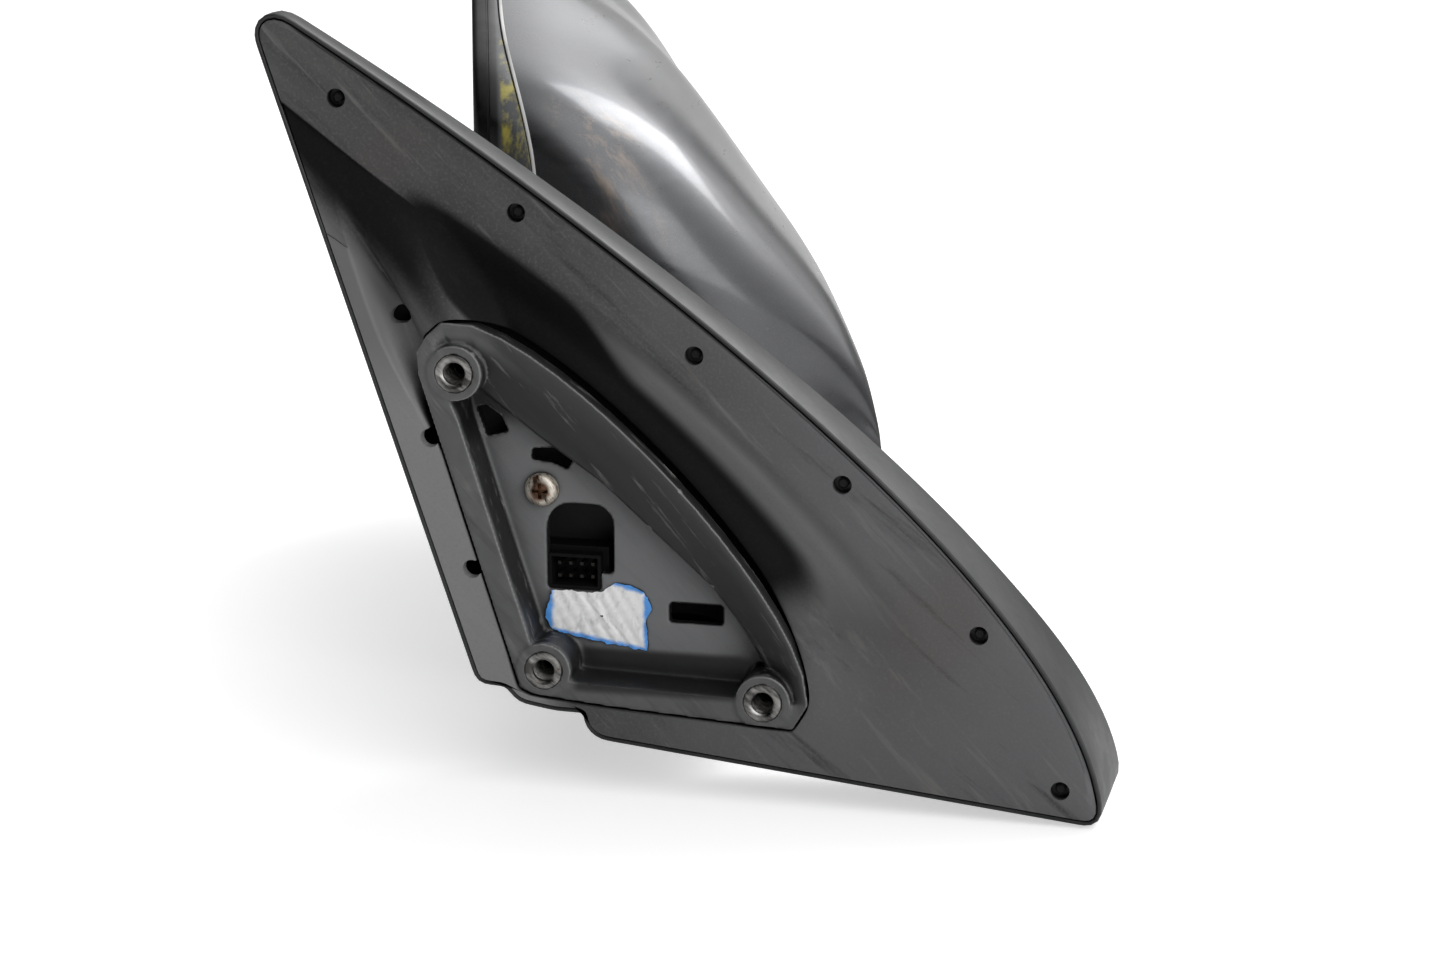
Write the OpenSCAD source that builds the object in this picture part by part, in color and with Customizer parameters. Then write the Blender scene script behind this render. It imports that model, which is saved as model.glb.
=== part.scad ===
/* [Sail base] */
// Height of the corner that the rear edge and the sloping edge point at, before it is rounded
tip_z = 165; // [161:0.1:168]
// Reach of that corner behind the rear lower fixing
tip_back = 71.4; // [69:0.1:74]
// Radius of the rounded top tip
tip_r = 4; // [3:0.1:6]
// Reach of the front tip ahead of the rear lower fixing
front_x = 136; // [132:0.5:142]
// Drop of the front tip below the rear lower fixing
front_drop = 27; // [25:0.5:30]
// Thickness of the rubber gasket
gasket_t = 3; // [2.4:0.1:4]
// Depth of the channel pressed into the gasket beside the pocket
channel_depth = 9; // [7:0.5:10]
// Diameter of the small peg holes round the gasket
peg_hole_d = 4.6; // [4:0.1:5.4]
// Diameter of the cover's pegs that hold the gasket
peg_d = 2.6; // [2:0.1:3]
// Wall of the base cover
cover_wall = 2.4; // [2:0.1:3]
// Depth of the cover's skirt at the top tip
skirt_top = 8.5; // [8:0.5:10]
// Depth of the cover's skirt at the front tip
skirt_front = 35; // [32:0.5:38]

/* [Pocket and bracket] */
// Depth of the pocket floor behind the mounting plane
floor_y = 11.5; // [10.5:0.5:12.5]
// Thickness of the bracket's floor and walls
cast_wall = 3; // [2.5:0.1:3.6]
// Distance of the upper fixing above the rear lower fixing
upper_fixing_z = 73.3; // [72.5:0.1:74]
// Distance of the front fixing ahead of the rear lower fixing
front_fixing_x = 54.5; // [53.5:0.1:55.5]
// Outer diameter of the threaded steel inserts
insert_d = 9.4; // [8.6:0.1:10]
// Minor diameter of the insert's thread
thread_d = 5; // [4.6:0.1:5.4]
// Length of the threaded inserts
insert_len = 11; // [10:0.5:11.5]
// Diameter of the cast bosses round the inserts
boss_d = 13.6; // [13:0.1:14.4]
// Width of the connector window
window_w = 13.4; // [12.6:0.1:14]
// Height of the connector window
window_h = 9; // [8.4:0.1:9.6]

/* [Pivot] */
// Distance of the fold axis in front of the rear lower fixing
pivot_x = 18; // [17:0.5:19]
// Distance of the fold axis from the mounting plane
pivot_y = 80; // [78:0.5:82]
// Outer diameter of the pivot tube
tube_d = 16; // [15:0.1:17]
// Wall of the pivot tube
tube_wall = 2; // [1.5:0.1:2.5]
// Running clearance between bush and tube, on the radius
bush_gap = 0.05; // [0.02:0.01:0.09]
// Wall of the plastic pivot bush
bush_wall = 1.5; // [1.2:0.1:1.8]
// Radius of the hub, washers and stop rings
hub_r = 14; // [13.5:0.1:14.4]
// Width of the arm that carries the head
arm_w = 52; // [50:0.5:54]
// Height of the arm's top face above the rear lower fixing
arm_top = 8; // [7.5:0.1:8.3]
// Depth of the arm from its top face to its underside
arm_h = 19; // [18:0.5:20]
// Wire diameter of the fold spring
wire_d = 3; // [2.6:0.1:3.4]
// Free height of the fold spring as fitted
spring_h = 24; // [22:0.5:26]
// Fold towards the rear, in degrees
fold_back = 65; // [60:1:68]
// Fold towards the front, in degrees
fold_forward = 50; // [45:1:52]

/* [Mirror head] */
// Angle of the glass plane towards the driver
glass_angle = 16; // [14:0.5:17]
// Distance of the rim plane behind the fold axis
rim_back = 54; // [53:0.5:56]
// Reach of the nose ahead of the fold axis
nose_x = 52; // [50:0.5:55]
// Height of the nose point
nose_z = 30; // [28:0.5:32]
// Height of the head's top edge
head_top = 154; // [151:0.5:158]
// Reach of the outboard end from the fold axis
head_out = 216; // [212:0.5:220]
// Wall of the painted cap
cap_wall = 2.2; // [1.9:0.1:2.6]
// Height of the parting line between cap and lower housing
parting_z = 20; // [18:0.5:22]
// Depth of the visible black frame behind the cap at the top
frame_band = 7; // [6:0.5:8]
// Extra depth of that frame on the inboard side
frame_inboard = 8; // [6:0.5:9]

/* [Glass and actuator] */
// Thickness of the mirror glass
glass_t = 2; // [1.8:0.1:2.4]
// Radius of the convex glass
glass_r = 1400; // [1200:50:1800]
// Gap from the rim outline to the edge of the glass
glass_inset = 13; // [12.5:0.1:14]
// Depth of the glass face inside the rim plane, at its middle
glass_recess = 9; // [8:0.5:10]
// Thickness of the backing plate
holder_t = 2.4; // [2:0.1:2.8]
// Distance of the tilt centre outboard of the fold axis
centre_out = 97; // [96:0.5:99]
// Height of the tilt centre
centre_z = 69; // [68:0.5:70]
// Distance of each jack screw from the tilt centre
jack_arm = 30; // [29:0.5:31]
// Diameter of the jack screws
jack_d = 6; // [5.6:0.1:6.4]
// Number of teeth on the drive wheels
wheel_teeth = 16; // [14:1:17]
// Circular pitch of worm and wheel
gear_pitch = 2.3; // [2.1:0.05:2.4]
// Diameter of the motor cans
motor_d = 15; // [14:0.1:15.4]
// Largest tilt of the glass each way, in degrees
tilt_max = 6; // [5:0.5:6]

/* [Hidden] */
fine = 64;                    // facets of plain round parts
seat = 0.3;                   // gap at a seat between two bodies
slip = 0.1;                   // assembly clearance within one body
side_n = 18;                  // outline points on each side of the sail

satin_black = [0.16, 0.16, 0.17];
rubber_black = [0.12, 0.12, 0.125];
gloss_black = [0.07, 0.07, 0.08];
steel = [0.62, 0.62, 0.64];
cast_grey = [0.3, 0.3, 0.31];

// ---------- curves and loops ----------

function bezier(p, n) = [
    for (i = [0:n]) let (t = i / n, s = 1 - t)
        s * s * s * p[0] + 3 * s * s * t * p[1] + 3 * s * t * t * p[2] + t * t * t * p[3]
];
function run_length(p) = [
    for (i = 0, s = 0; i < len(p); s = s + (i + 1 < len(p) ? norm(p[i + 1] - p[i]) : 0), i = i + 1) s
];
// n points evenly along an open path, without its last point
function spaced(p, n) = let (
    c = run_length(p),
    total = c[len(c) - 1],
    across = [for (i = [0:len(p) - 1]) [c[i], p[i][0]]],
    up = [for (i = [0:len(p) - 1]) [c[i], p[i][1]]]
) [for (j = [0:n - 1]) [lookup(total * j / n, across), lookup(total * j / n, up)]];
function unit(v) = v / norm(v);
function clamp01(t) = min(1, max(0, t));
function smooth(t) = let (c = clamp01(t)) c * c * (3 - 2 * c);
function mix(a, b, t) = a + (b - a) * t;
// arc that rounds the corner b between a and c
function corner(a, b, c, r, n) = let (
    u = unit(a - b), v = unit(c - b),
    half = acos(u * v) / 2,
    centre = b + unit(u + v) * r / sin(half),
    first = b + u * r / tan(half) - centre,
    last = b + v * r / tan(half) - centre,
    a0 = atan2(first[1], first[0]),
    turn = atan2(first[0] * last[1] - first[1] * last[0], first * last)
) [for (i = [0:n]) centre + r * [cos(a0 + turn * i / n), sin(a0 + turn * i / n)]];
// closed outline of [across, up, radius] corners
function rounded(v, n) = [
    for (i = [0:len(v) - 1]) let (
        a = v[(i + len(v) - 1) % len(v)], b = v[i], c = v[(i + 1) % len(v)]
    ) each corner([a[0], a[1]], [b[0], b[1]], [c[0], c[1]], b[2], n)
];
// clockwise closed loop moved outwards
function grown(p, d) = [
    for (i = [0:len(p) - 1]) let (
        along = unit(p[(i + 1) % len(p)] - p[(i + len(p) - 1) % len(p)])
    ) p[i] + d * [-along[1], along[0]]
];
function toward(p, q, d) = [for (i = [0:len(p) - 1]) p[i] + unit(q[i] - p[i]) * d];
function blend(p, q, t) = [for (i = [0:len(p) - 1]) mix(p[i], q[i], t)];

// closed skin through loops of equal, even length. Its ends close to their middle, or by rungs from
// each point to the opposite one, or on each other
module skin(loops, ends = "middle") {
    n = len(loops[0]);
    m = len(loops);
    ones = [for (p = loops[0]) 1];
    middles = [for (l = [loops[0], loops[m - 1]]) ones * l / n];
    spans = ends == "ring" ? m : m - 1;
    sides = [
        for (j = [0:spans - 1], i = [0:n - 1]) let (
            a = j * n + i, b = j * n + (i + 1) % n,
            c = ((j + 1) % m) * n + (i + 1) % n, d = ((j + 1) % m) * n + i
        ) each [[a, b, c], [a, c, d]]
    ];
    rungs = [
        for (k = [0:n / 2 - 1]) let (p = k, q = k + 1, r = (n - k - 1) % n, s = (n - k) % n)
            each concat(q == r ? [] : [[p, q, r]], p == s ? [] : [[p, r, s]])
    ];
    closing_faces = ends == "ring" ? []
        : ends == "rungs" ? [for (f = rungs) each [[f[2], f[1], f[0]], [for (v = f) (m - 1) * n + v]]]
        : [for (i = [0:n - 1]) each [
            [m * n, (i + 1) % n, i],
            [m * n + 1, (m - 1) * n + i, (m - 1) * n + (i + 1) % n]]];
    polyhedron(concat([for (l = loops) each l], ends == "middle" ? middles : []),
        concat(sides, closing_faces), convexity = 10);
}

// ---------- places ----------

// rear edge, sloping edge and lower edge of the sail, seen from the door, as [x, z]
tip_corner = [-tip_back, tip_z];
rear_foot = [-16, -3.2];
slope_start = [-60, 156];
slope_p1 = [3, 117.7];
slope_p2 = [front_x - 6.8, 30.5];
front_tip = [front_x, -front_drop];
lower_rear = [14, -15.5];
notch = [[11.4, -13], [11, -9], [3, -8.9], [-6, -7.4], [-9, -3.6]];
tip_arc = corner(rear_foot, tip_corner, slope_start, tip_r, 6);
slope_side = concat([tip_arc[3], tip_arc[4], tip_arc[5], tip_arc[6]],
    bezier([slope_start, slope_p1, slope_p2, front_tip], 40));
lower_side = concat([front_tip, front_tip + [-1.6, -1.8], lower_rear], notch, [rear_foot]);
rear_side = concat([rear_foot], [for (i = [0:3]) tip_arc[i]]);
sail = concat(spaced(slope_side, side_n), spaced(lower_side, side_n), spaced(rear_side, side_n));
count = len(sail);

// pocket that the bracket shows through
pocket_tip = [-24.5, 86];
pocket_front = [66, -5];
pocket_low = [62, -11.5];
pocket_rear = [-6.5, -5.2];
pocket = concat(
    spaced(concat(bezier([pocket_tip, [-3.4, 92.4], [67.4, 22], pocket_front], 30), [pocket_low]), side_n),
    spaced([pocket_low, [16, -8.6], [3, -7.4], [-3.5, -6.6], pocket_rear], side_n),
    spaced([pocket_rear, [-31, 73.5], [-31, 80], pocket_tip], side_n));

upper_fixing = [-21.2, upper_fixing_z];
rear_fixing = [0, 0];
front_fixing = [front_fixing_x, -4.6];
cover_screw_at = [-2.6, 42.9];
window_at = [5.2, 22.2];
slot_at = [35.8, 13.3];
slot_w = 13.4;
slot_h = 5;
peg_holes = [
    [-48.6, 138.9], [-5, 113.1], [37.9, 80.6], [73.6, 51.1], [106.7, 16], [126.9, -21.4],
    [-17.5, 24.9], [-27.4, 57.2], [-36.2, 85.6]
];

module at_door(p) translate([p[0], 0, p[1]]) rotate([-90, 0, 0]) children();

// extrudes an [x, z] drawing from depth y0 to y1
module slab(outline, y0, y1) translate([0, y1, 0]) rotate([90, 0, 0]) linear_extrude(y1 - y0) polygon(outline);

// ---------- sail base ----------

// depth of the gasket's channel at station i of the outline and share t from edge to pocket
function channel(i, t) = let (
    s = i / side_n,
    along = s < 1 ? smooth(s / 0.12) * smooth((0.98 - s) / 0.3)
        : s < 2 ? 0 : smooth((s - 2.62) / 0.1) * smooth((2.97 - s) / 0.08),
    through = s > 2 ? smooth((s - 2.7) / 0.06) * smooth((2.9 - s) / 0.06) * smooth((t - 0.34) / 0.22) : 0
) channel_depth * max(along * smooth((t - 0.36) / 0.5), through * (1 - t) * 0.7);
function gasket_ring(t, lift) = [
    for (i = [0:count - 1]) let (p = mix(sail[i], pocket[i], t))
        [p[0], channel(i, t) + lift, p[1]]
];
gasket_stops = [0, 0.34, 0.5, 0.64, 0.78, 0.9, 1];

module base_gasket() color(rubber_black) difference() {
    skin(concat(
        [for (t = gasket_stops) gasket_ring(t, 0)],
        [for (k = [len(gasket_stops) - 1:-1:0]) gasket_ring(gasket_stops[k], gasket_t)]
    ), ends = "ring");
    for (p = peg_holes) at_door(p)
        translate([0, 0, -1]) cylinder(d = peg_hole_d, h = channel_depth + gasket_t + 2, $fn = 24);
}

// cover: outline, skirt, domed back and arm as one run of loops
function skirt(i) = lookup(i / side_n, [
    [0, skirt_top], [0.5, skirt_top * 1.9], [0.8, mix(skirt_top, skirt_front, 0.55)],
    [0.93, mix(skirt_top, skirt_front, 0.85)], [1, skirt_front], [1.3, skirt_front * 0.8],
    [2, 20], [2.6, 16], [3, skirt_top]
]);
function flare(i) = lookup(i / side_n, [[0, 0], [0.5, 0.5], [1, 1], [1.3, 0], [3, 0]]);
lip_out = 1.4;                // how far the cover stands outside the gasket
groove = 0.35;                // gap between gasket and the cover's lip
function outer_edge(d, share) = let (g = grown(sail, lip_out + d), w = grown(sail, 1)) [
    for (i = [0:count - 1]) g[i] + (w[i] - sail[i]) * flare(i) * share
];
// rectangular arm section, its points matched to the sail's three sides
function arm_loop(x0, x1, low, high, r) = let (
    c = rounded([[x0, high, r], [x1, high, r], [x1, low, r], [x0, low, r]], 4)
) concat(
    spaced([for (i = [2:12]) c[i]], side_n),
    spaced([for (i = [12:17]) c[i]], side_n),
    spaced(concat([for (i = [17:19]) c[i]], [for (i = [0:2]) c[i]]), side_n));
function lifted(p, y) = [for (q = p) [q[0], y, q[1]]];
function lifted_by(p, y) = [for (i = [0:len(p) - 1]) [p[i][0], y[i], p[i][1]]];
arm_low = arm_top - arm_h;
flange_end = 0.3;
flange_back = gasket_t + slip + 2;
root_y = 25;
neck_y = 30;

// d is how far the surface lies inside the outer face
function cover_loops(d) = let (
    edge1 = outer_edge(-d, 1),
    half = arm_w / 2 - d,
    root = arm_loop(pivot_x - arm_w / 2 + 2 + d, pivot_x + half + 4, arm_low + d, arm_top + 13 - d, 8),
    neck = arm_loop(pivot_x - half, pivot_x + half, arm_low + d, arm_top - d, 5),
    rim = [for (i = [0:count - 1]) skirt(i) - d],
    inner = blend(edge1, root, 0.06)
) concat(
    [lifted_by(edge1, [for (r = rim) max(flange_back + 0.3, r - 2.6)])],
    [lifted_by(blend(edge1, root, 0.014), [for (r = rim) max(flange_back + 0.4, r - 0.8)])],
    [for (t = [0, 0.33, 0.66, 1]) let (l = blend(inner, root, t))
        lifted_by(l, [for (r = rim) mix(r, root_y - d, t)])],
    [lifted(blend(root, neck, 0.7), root_y - d + 1.5)],
    [lifted(neck, neck_y)],
    [for (k = [0, 0.4, 0.7, 0.9, 0.99]) let (w = half * sqrt(1 - k * k))
        lifted(arm_loop(pivot_x - w, pivot_x + w, arm_low + d, arm_top - d, min(5, w * 0.6)),
            pivot_y + half * k)]
);
module cover_shell() let (outside = cover_loops(0), inside = cover_loops(cover_wall))
    skin(concat(
        [for (k = [len(outside) - 1:-1:0]) outside[k]],
        [lifted(outer_edge(0, 0), 0.4)],
        [lifted(grown(sail, groove), 0.4)],
        [lifted(grown(sail, groove), gasket_t + slip)],
        [gasket_ring(flange_end, gasket_t + slip)],
        [gasket_ring(flange_end, flange_back)],
        [gasket_ring(0.08, flange_back + 0.1)],
        inside));
post_d = 8;
post_len = 6;
screw_head_d = 8.4;
screw_d = 3.6;
seat_z = arm_top - 4;         // top of the bracket's pivot seat
top_hole_r = hub_r + 1.2;
module base_cover() color(satin_black) difference() {
    union() {
        cover_shell();
        at_door(cover_screw_at) translate([0, 0, floor_y + cast_wall + slip])
            cylinder(d = post_d, h = post_len, $fn = 32);
        for (i = [0:5]) at_door(peg_holes[i])
            translate([0, 0, 1.6]) cylinder(d = peg_d, h = gasket_t, $fn = 16);
    }
    at_door(cover_screw_at) translate([0, 0, 1]) cylinder(d = screw_d, h = floor_y + 7.2, $fn = 24);
    translate([pivot_x, pivot_y, seat_z - 2]) cylinder(r = top_hole_r, h = 10, $fn = fine);
}

// ---------- die-cast bracket ----------

ridge = 0.8;                  // depth of the tray's crest behind the mounting plane
ledge_y = 6;                  // depth of the tray's inner ledge
boss_front = 0.4;             // depth of the bosses' faces
boss_back = floor_y + 1.2;
function tray_a() = grown(pocket, -0.4);
function tray_b() = concat(
    spaced([[-22, 74], [-17.5, 69.5], [-3.2, 58.4], [14, 46.6], [29.6, 32.4], [41.4, 21.8], [50, 10.4],
        [57, -2.2], [56.6, -3.8]], side_n),
    spaced([[56.6, -3.8], [10, -2.6], [-1.6, -1.6]], side_n),
    spaced([[-1.6, -1.6], [-3.4, 8.2], [-8.5, 24], [-13.5, 40], [-20.9, 64], [-22, 74]], side_n));
// 0 along the tray's sloping side, 1 along the two others, whose crest is wide and wall upright
function upright(i) = let (s = i / side_n) smooth((s - 0.95) / 0.08) * smooth((2.97 - s) / 0.12);
function tray_crest() = let (thin = grown(tray_a(), -1.1), wide = grown(tray_b(), 0.3))
    [for (i = [0:count - 1]) mix(thin[i], wide[i], upright(i))];
function tray_floor() = let (b = tray_b(), inner = grown(b, -1))
    [for (i = [0:count - 1]) mix(b[i], inner[i], mix(1.6, 0.3, upright(i)))];
// the tray's walls reach a little into its floor plate
module tray() {
    skin([
        lifted(tray_b(), floor_y + cast_wall - 0.4), lifted(tray_a(), ledge_y), lifted(tray_a(), ridge),
        lifted(tray_crest(), ridge), lifted(tray_b(), ledge_y), lifted(tray_floor(), floor_y + 0.6)
    ], ends = "ring");
    slab(grown(tray_b(), 0.5), floor_y, floor_y + cast_wall);
}
fixings = [upper_fixing, rear_fixing, front_fixing];
seat_r = hub_r + 2.2;
seat_low = arm_low + cover_wall + 0.6;
rib_w = arm_w / 2 - cover_wall - 12.6;  // leaves the back of the rear fixing free
rib_step = -4.5;              // underside of the ribs beside the pocket

module rib(x) translate([x - 2, 0, 0]) rotate([90, 0, 90]) linear_extrude(4) polygon([
    [floor_y + 1, rib_step], [neck_y, rib_step], [neck_y, seat_low + 0.4], [pivot_y - 7, seat_low + 0.4],
    [pivot_y - 7, seat_z - 0.4], [floor_y + 1, seat_z - 0.4]]);
// openings in the tray's floor: below the top boss, above the cover screw, and the arch over the window
under_boss = [[-19, 62.8], [-16.4, 63.2], [-12.6, 60.6], [-11, 56.8], [-16.4, 55.4]];
over_screw = [[-5.4, 50.2], [-4.8, 53], [1.2, 53.3], [5.2, 50.6], [3.8, 48.2], [0, 49.6]];
arch_top = 17.4;              // from the middle of the window
module mount_bracket() color(cast_grey) difference() {
    union() {
        tray();
        // bosses
        intersection() {
            for (p = fixings) at_door(p) cylinder(d = boss_d, h = boss_back, $fn = fine);
            slab(grown(tray_a(), -0.15), boss_front, boss_back + 1);
        }
        // arm and pivot seat
        translate([pivot_x, pivot_y, seat_low]) cylinder(r = seat_r, h = seat_z - seat_low, $fn = fine);
        for (s = [-1, 1]) rib(pivot_x + s * rib_w);
        translate([pivot_x - rib_w, floor_y + 1.3, rib_step + 0.6])
            cube([2 * rib_w, pivot_y - floor_y - 8, 3]);
        for (y = [36, 56]) translate([pivot_x - rib_w, y, seat_low + 0.9])
            cube([2 * rib_w, 3, seat_z - seat_low - 1.8]);
    }
    for (p = fixings) at_door(p) translate([0, 0, -1])
        cylinder(d = insert_d, h = floor_y + cast_wall + 2, $fn = fine);
    at_door(cover_screw_at) translate([0, 0, floor_y - 1]) cylinder(d = screw_d, h = 6, $fn = 24);
    translate([window_at[0] - window_w / 2, floor_y - 2, window_at[1] - window_h / 2])
        cube([window_w, cast_wall + 4, window_h]);
    slab(rounded([[window_at[0] - window_w / 2, window_at[1], 0.5],
        [window_at[0] - window_w / 2, window_at[1] + arch_top, 6],
        [window_at[0] + window_w / 2 + 3.2, window_at[1] + arch_top, 5],
        [window_at[0] + window_w / 2 + 3.2, window_at[1], 0.5]], 6), floor_y - 2, floor_y + cast_wall + 2);
    for (o = [under_boss, over_screw]) slab(o, floor_y - 2, floor_y + cast_wall + 2);
    translate([slot_at[0] - slot_w / 2, floor_y - 2, slot_at[1] - slot_h / 2])
        cube([slot_w, cast_wall + 4, slot_h]);
    translate([pivot_x, pivot_y, seat_low - 1]) cylinder(d = tube_d, h = 40, $fn = fine);
}

module threaded_insert(p) color(steel) at_door(p) difference() {
    cylinder(d = insert_d, h = insert_len, $fn = fine);
    translate([0, 0, -1]) cylinder(d = thread_d, h = insert_len + 2, $fn = fine);
    for (z = [4, 8]) translate([0, 0, z]) difference() {
        cylinder(d = insert_d + 1, h = 0.8, $fn = fine);
        cylinder(d = insert_d - 1, h = 0.8, $fn = fine);
    }
}
module fixing_insert_top() threaded_insert(upper_fixing);
module fixing_insert_rear() threaded_insert(rear_fixing);
module fixing_insert_front() threaded_insert(front_fixing);

screw_head_t = 2.6;
module cover_screw() color([0.45, 0.27, 0.15]) at_door(cover_screw_at) difference() {
    union() {
        translate([0, 0, floor_y - screw_head_t]) cylinder(d1 = screw_head_d - 1.6, d2 = screw_head_d,
            h = 1, $fn = 40);
        translate([0, 0, floor_y - screw_head_t + 1]) cylinder(d = screw_head_d, h = screw_head_t - 1,
            $fn = 40);
        cylinder_shank(floor_y - 1, 9);
    }
    for (a = [0, 90]) rotate([0, 0, a]) translate([-2, -0.45, floor_y - screw_head_t - 0.1])
        cube([4, 0.9, 1.5]);
}
module cylinder_shank(from, length) translate([0, 0, from]) cylinder(d = screw_d, h = length, $fn = 24);

shroud_wall = 1.4;
shroud_d = 6;
module connector_housing() color(satin_black) translate([window_at[0], floor_y + cast_wall, window_at[1]])
difference() {
    union() {
        translate([-window_w / 2 - shroud_wall, slip, -window_h / 2 - shroud_wall])
            cube([window_w + 2 * shroud_wall, shroud_d, window_h + 2 * shroud_wall]);
        translate([-window_w / 2 + slip, -cast_wall + 0.4, -window_h / 2 + slip])
            cube([window_w - 2 * slip, cast_wall, window_h - 2 * slip]);
    }
    translate([-window_w / 2 + slip + 0.8, -cast_wall, -window_h / 2 + slip + 0.8])
        cube([window_w - 2 * slip - 1.6, cast_wall + shroud_d - 2, window_h - 2 * slip - 1.6]);
    for (p = pin_places) translate([p[0] - pin_w / 2, 0, p[1] - pin_w / 2])
        cube([pin_w, 20, pin_w]);
}
pin_w = 0.8;
pin_places = [for (x = [-4.2, -1.4, 1.4, 4.2], z = [-1.6, 1.6]) [x, z]];
module connector_pins() color([0.7, 0.68, 0.6]) for (p = pin_places)
    translate([window_at[0] + p[0] - pin_w / 2, floor_y + cast_wall - 1, window_at[1] + p[1] - pin_w / 2])
        cube([pin_w, shroud_d + 0.8, pin_w]);

// ---------- pivot ----------

module on_pivot(z) translate([pivot_x, pivot_y, z]) children();
module ring(ro, ri, h) difference() {
    cylinder(r = ro, h = h, $fn = fine);
    translate([0, 0, -1]) cylinder(r = ri, h = h + 2, $fn = fine);
}
tube_r = tube_d / 2;
stop_z = seat_z;              // fixed ring stands on the seat
stop_t = 3.4;
cam_z = stop_z + stop_t + seat;
cam_t = 4.2;
lug_h = 2.8;
lug_half = 10;                // half width of the stop lug, in degrees
lug_at = 270;
hub_z = cam_z + cam_t + slip;
hub_top = hub_z + 24;
washer_z = hub_top + seat;
washer_t = 1.6;
spring_z = washer_z + washer_t;
cap_z = spring_z + spring_h;
cap_t = 3;
clip_z = cap_z + cap_t;
clip_t = 1.4;
tube_top = clip_z + clip_t + 3;

module pivot_tube() color(steel) on_pivot(seat_low) difference() {
    cylinder(d = tube_d, h = tube_top - seat_low, $fn = fine);
    translate([0, 0, -1]) cylinder(d = tube_d - 2 * tube_wall, h = 120, $fn = fine);
    translate([0, 0, clip_z - seat_low]) difference() {
        cylinder(d = tube_d + 2, h = clip_t, $fn = fine);
        cylinder(r = tube_r - 0.8, h = clip_t, $fn = fine);
    }
}
module wedge(a0, a1, r) linear_extrude(40, center = true)
    polygon(concat([[0, 0]], [for (i = [0:8]) let (a = mix(a0, a1, i / 8)) 1.2 * r * [cos(a), sin(a)]]));
module fold_stop_ring() color(steel) on_pivot(stop_z) {
    ring(hub_r, tube_r + 0.05, stop_t);
    intersection() {
        translate([0, 0, stop_t - 0.5]) ring(hub_r - 0.5, hub_r - 3.4, lug_h + 0.5);
        wedge(lug_at - lug_half, lug_at + lug_half, hub_r);
    }
}
module fold_cam_ring() color(steel) on_pivot(cam_z) difference() {
    ring(hub_r, tube_r + 0.4, cam_t);
    intersection() {
        translate([0, 0, -1]) ring(hub_r + 1, hub_r - 3.8, 1 + lug_h + seat);
        wedge(lug_at - lug_half - fold_back - 3, lug_at + lug_half + fold_forward + 3, hub_r);
    }
}
module fold_spring() color(steel) on_pivot(0) {
    turns = 4;
    coil_r = tube_r + 1 + wire_d / 2;
    rise = (spring_h - wire_d - 0.1) / turns;
    n = 16;
    skin([for (k = [0:turns * n]) let (a = k * 360 / n, z = spring_z + wire_d / 2 + 0.05 + rise * k / n)
        [for (j = [0:7]) let (b = j * 45)
            [(coil_r + wire_d / 2 * cos(b)) * cos(a), (coil_r + wire_d / 2 * cos(b)) * sin(a),
                z + wire_d / 2 * sin(b)]]]);
}
module spring_seat_washer() color(steel) on_pivot(washer_z) ring(hub_r - 0.8, tube_r + 0.05, washer_t);
module spring_cap() color(steel) on_pivot(cap_z) {
    ring(hub_r - 0.8, tube_r + 0.05, cap_t);
}
module retaining_ring() color(steel) on_pivot(clip_z + 0.05) difference() {
    ring(tube_r + 2.4, tube_r - 0.75, clip_t - 0.1);
    translate([0, -2, -1]) cube([40, 4, 6]);
}

// ---------- head: shared surface ----------

module in_head() translate([pivot_x, pivot_y, 0]) rotate([0, 0, glass_angle]) children();
head_n = 56;
head_low = arm_top + 0.8;
function closed(p) = concat(p, [p[0]]);
in_y = 3;                     // inboard edge of the rim, from the fold axis
rim_corners = rounded([
    [in_y, head_low, 13], [in_y, head_top - 22, 26], [62, head_top + 2, 60], [150, head_top + 2.5, 70],
    [head_out, head_top - 18, 44], [head_out - 4, head_low + 22, 30], [head_out - 34, head_low, 50]
], 8);
rim_start = [in_y, nose_z];
rim_line = concat(
    spaced(concat([rim_start], [for (i = [9:47]) rim_corners[i]]), head_n / 2),
    spaced(concat([for (i = [47:62]) rim_corners[i]], [for (i = [0:8]) rim_corners[i]], [rim_start]),
        head_n / 2));
function rim(d) = grown(rim_line, -d);
function depth(y) = (nose_x + rim_back) * lookup(y, [
    [0, 1], [30, 0.99], [70, 0.955], [110, 0.885], [150, 0.82], [190, 0.74], [216, 0.64]]);
// how square the head's section stays near the rim
function bluff(y) = mix(2, 2.8, smooth((y - 110) / 90));
nose_line = [for (p = rim_line) [mix(110, p[0], 0.84), nose_z + p[0] * 0.06]];
// how fast each outline point closes in on the nose
closing = [for (i = [0:head_n - 1]) mix(0.35, 0.72, smooth((rim_line[i][1] - nose_z + 10) / 70))];
end_bulge = 24;
function ring_share(u, i) = max(0.1, pow(max(0, 1 - pow(u, bluff(rim_line[i][0]))), closing[i]));
// point of the surface at share u from rim plane to nose
function head_point(u, i, r, d) = let (
    q = mix(nose_line[i], r[i], ring_share(u, i)),
    low = rim_line[i][1] < nose_z ? 1 : 1 - smooth((rim_line[i][1] - 100) / 40) * 0.5,
    b = end_bulge * sin(180 * u) * smooth((44 - rim_line[i][0]) / 40) * low
) [-rim_back + (depth(q[0]) - d) * u, q[0] - b, q[1]];
function share_at(x, i, r, d, u, k) = k == 0 ? u : share_at(x, i, r, d,
    min(1, (x + rim_back) / (depth(mix(nose_line[i], r[i], ring_share(u, i))[0]) - d)), k - 1);
function head_at(x, i, r, d) = head_point(share_at(x, i, r, d, 0.3, 5), i, r, d);
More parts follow.
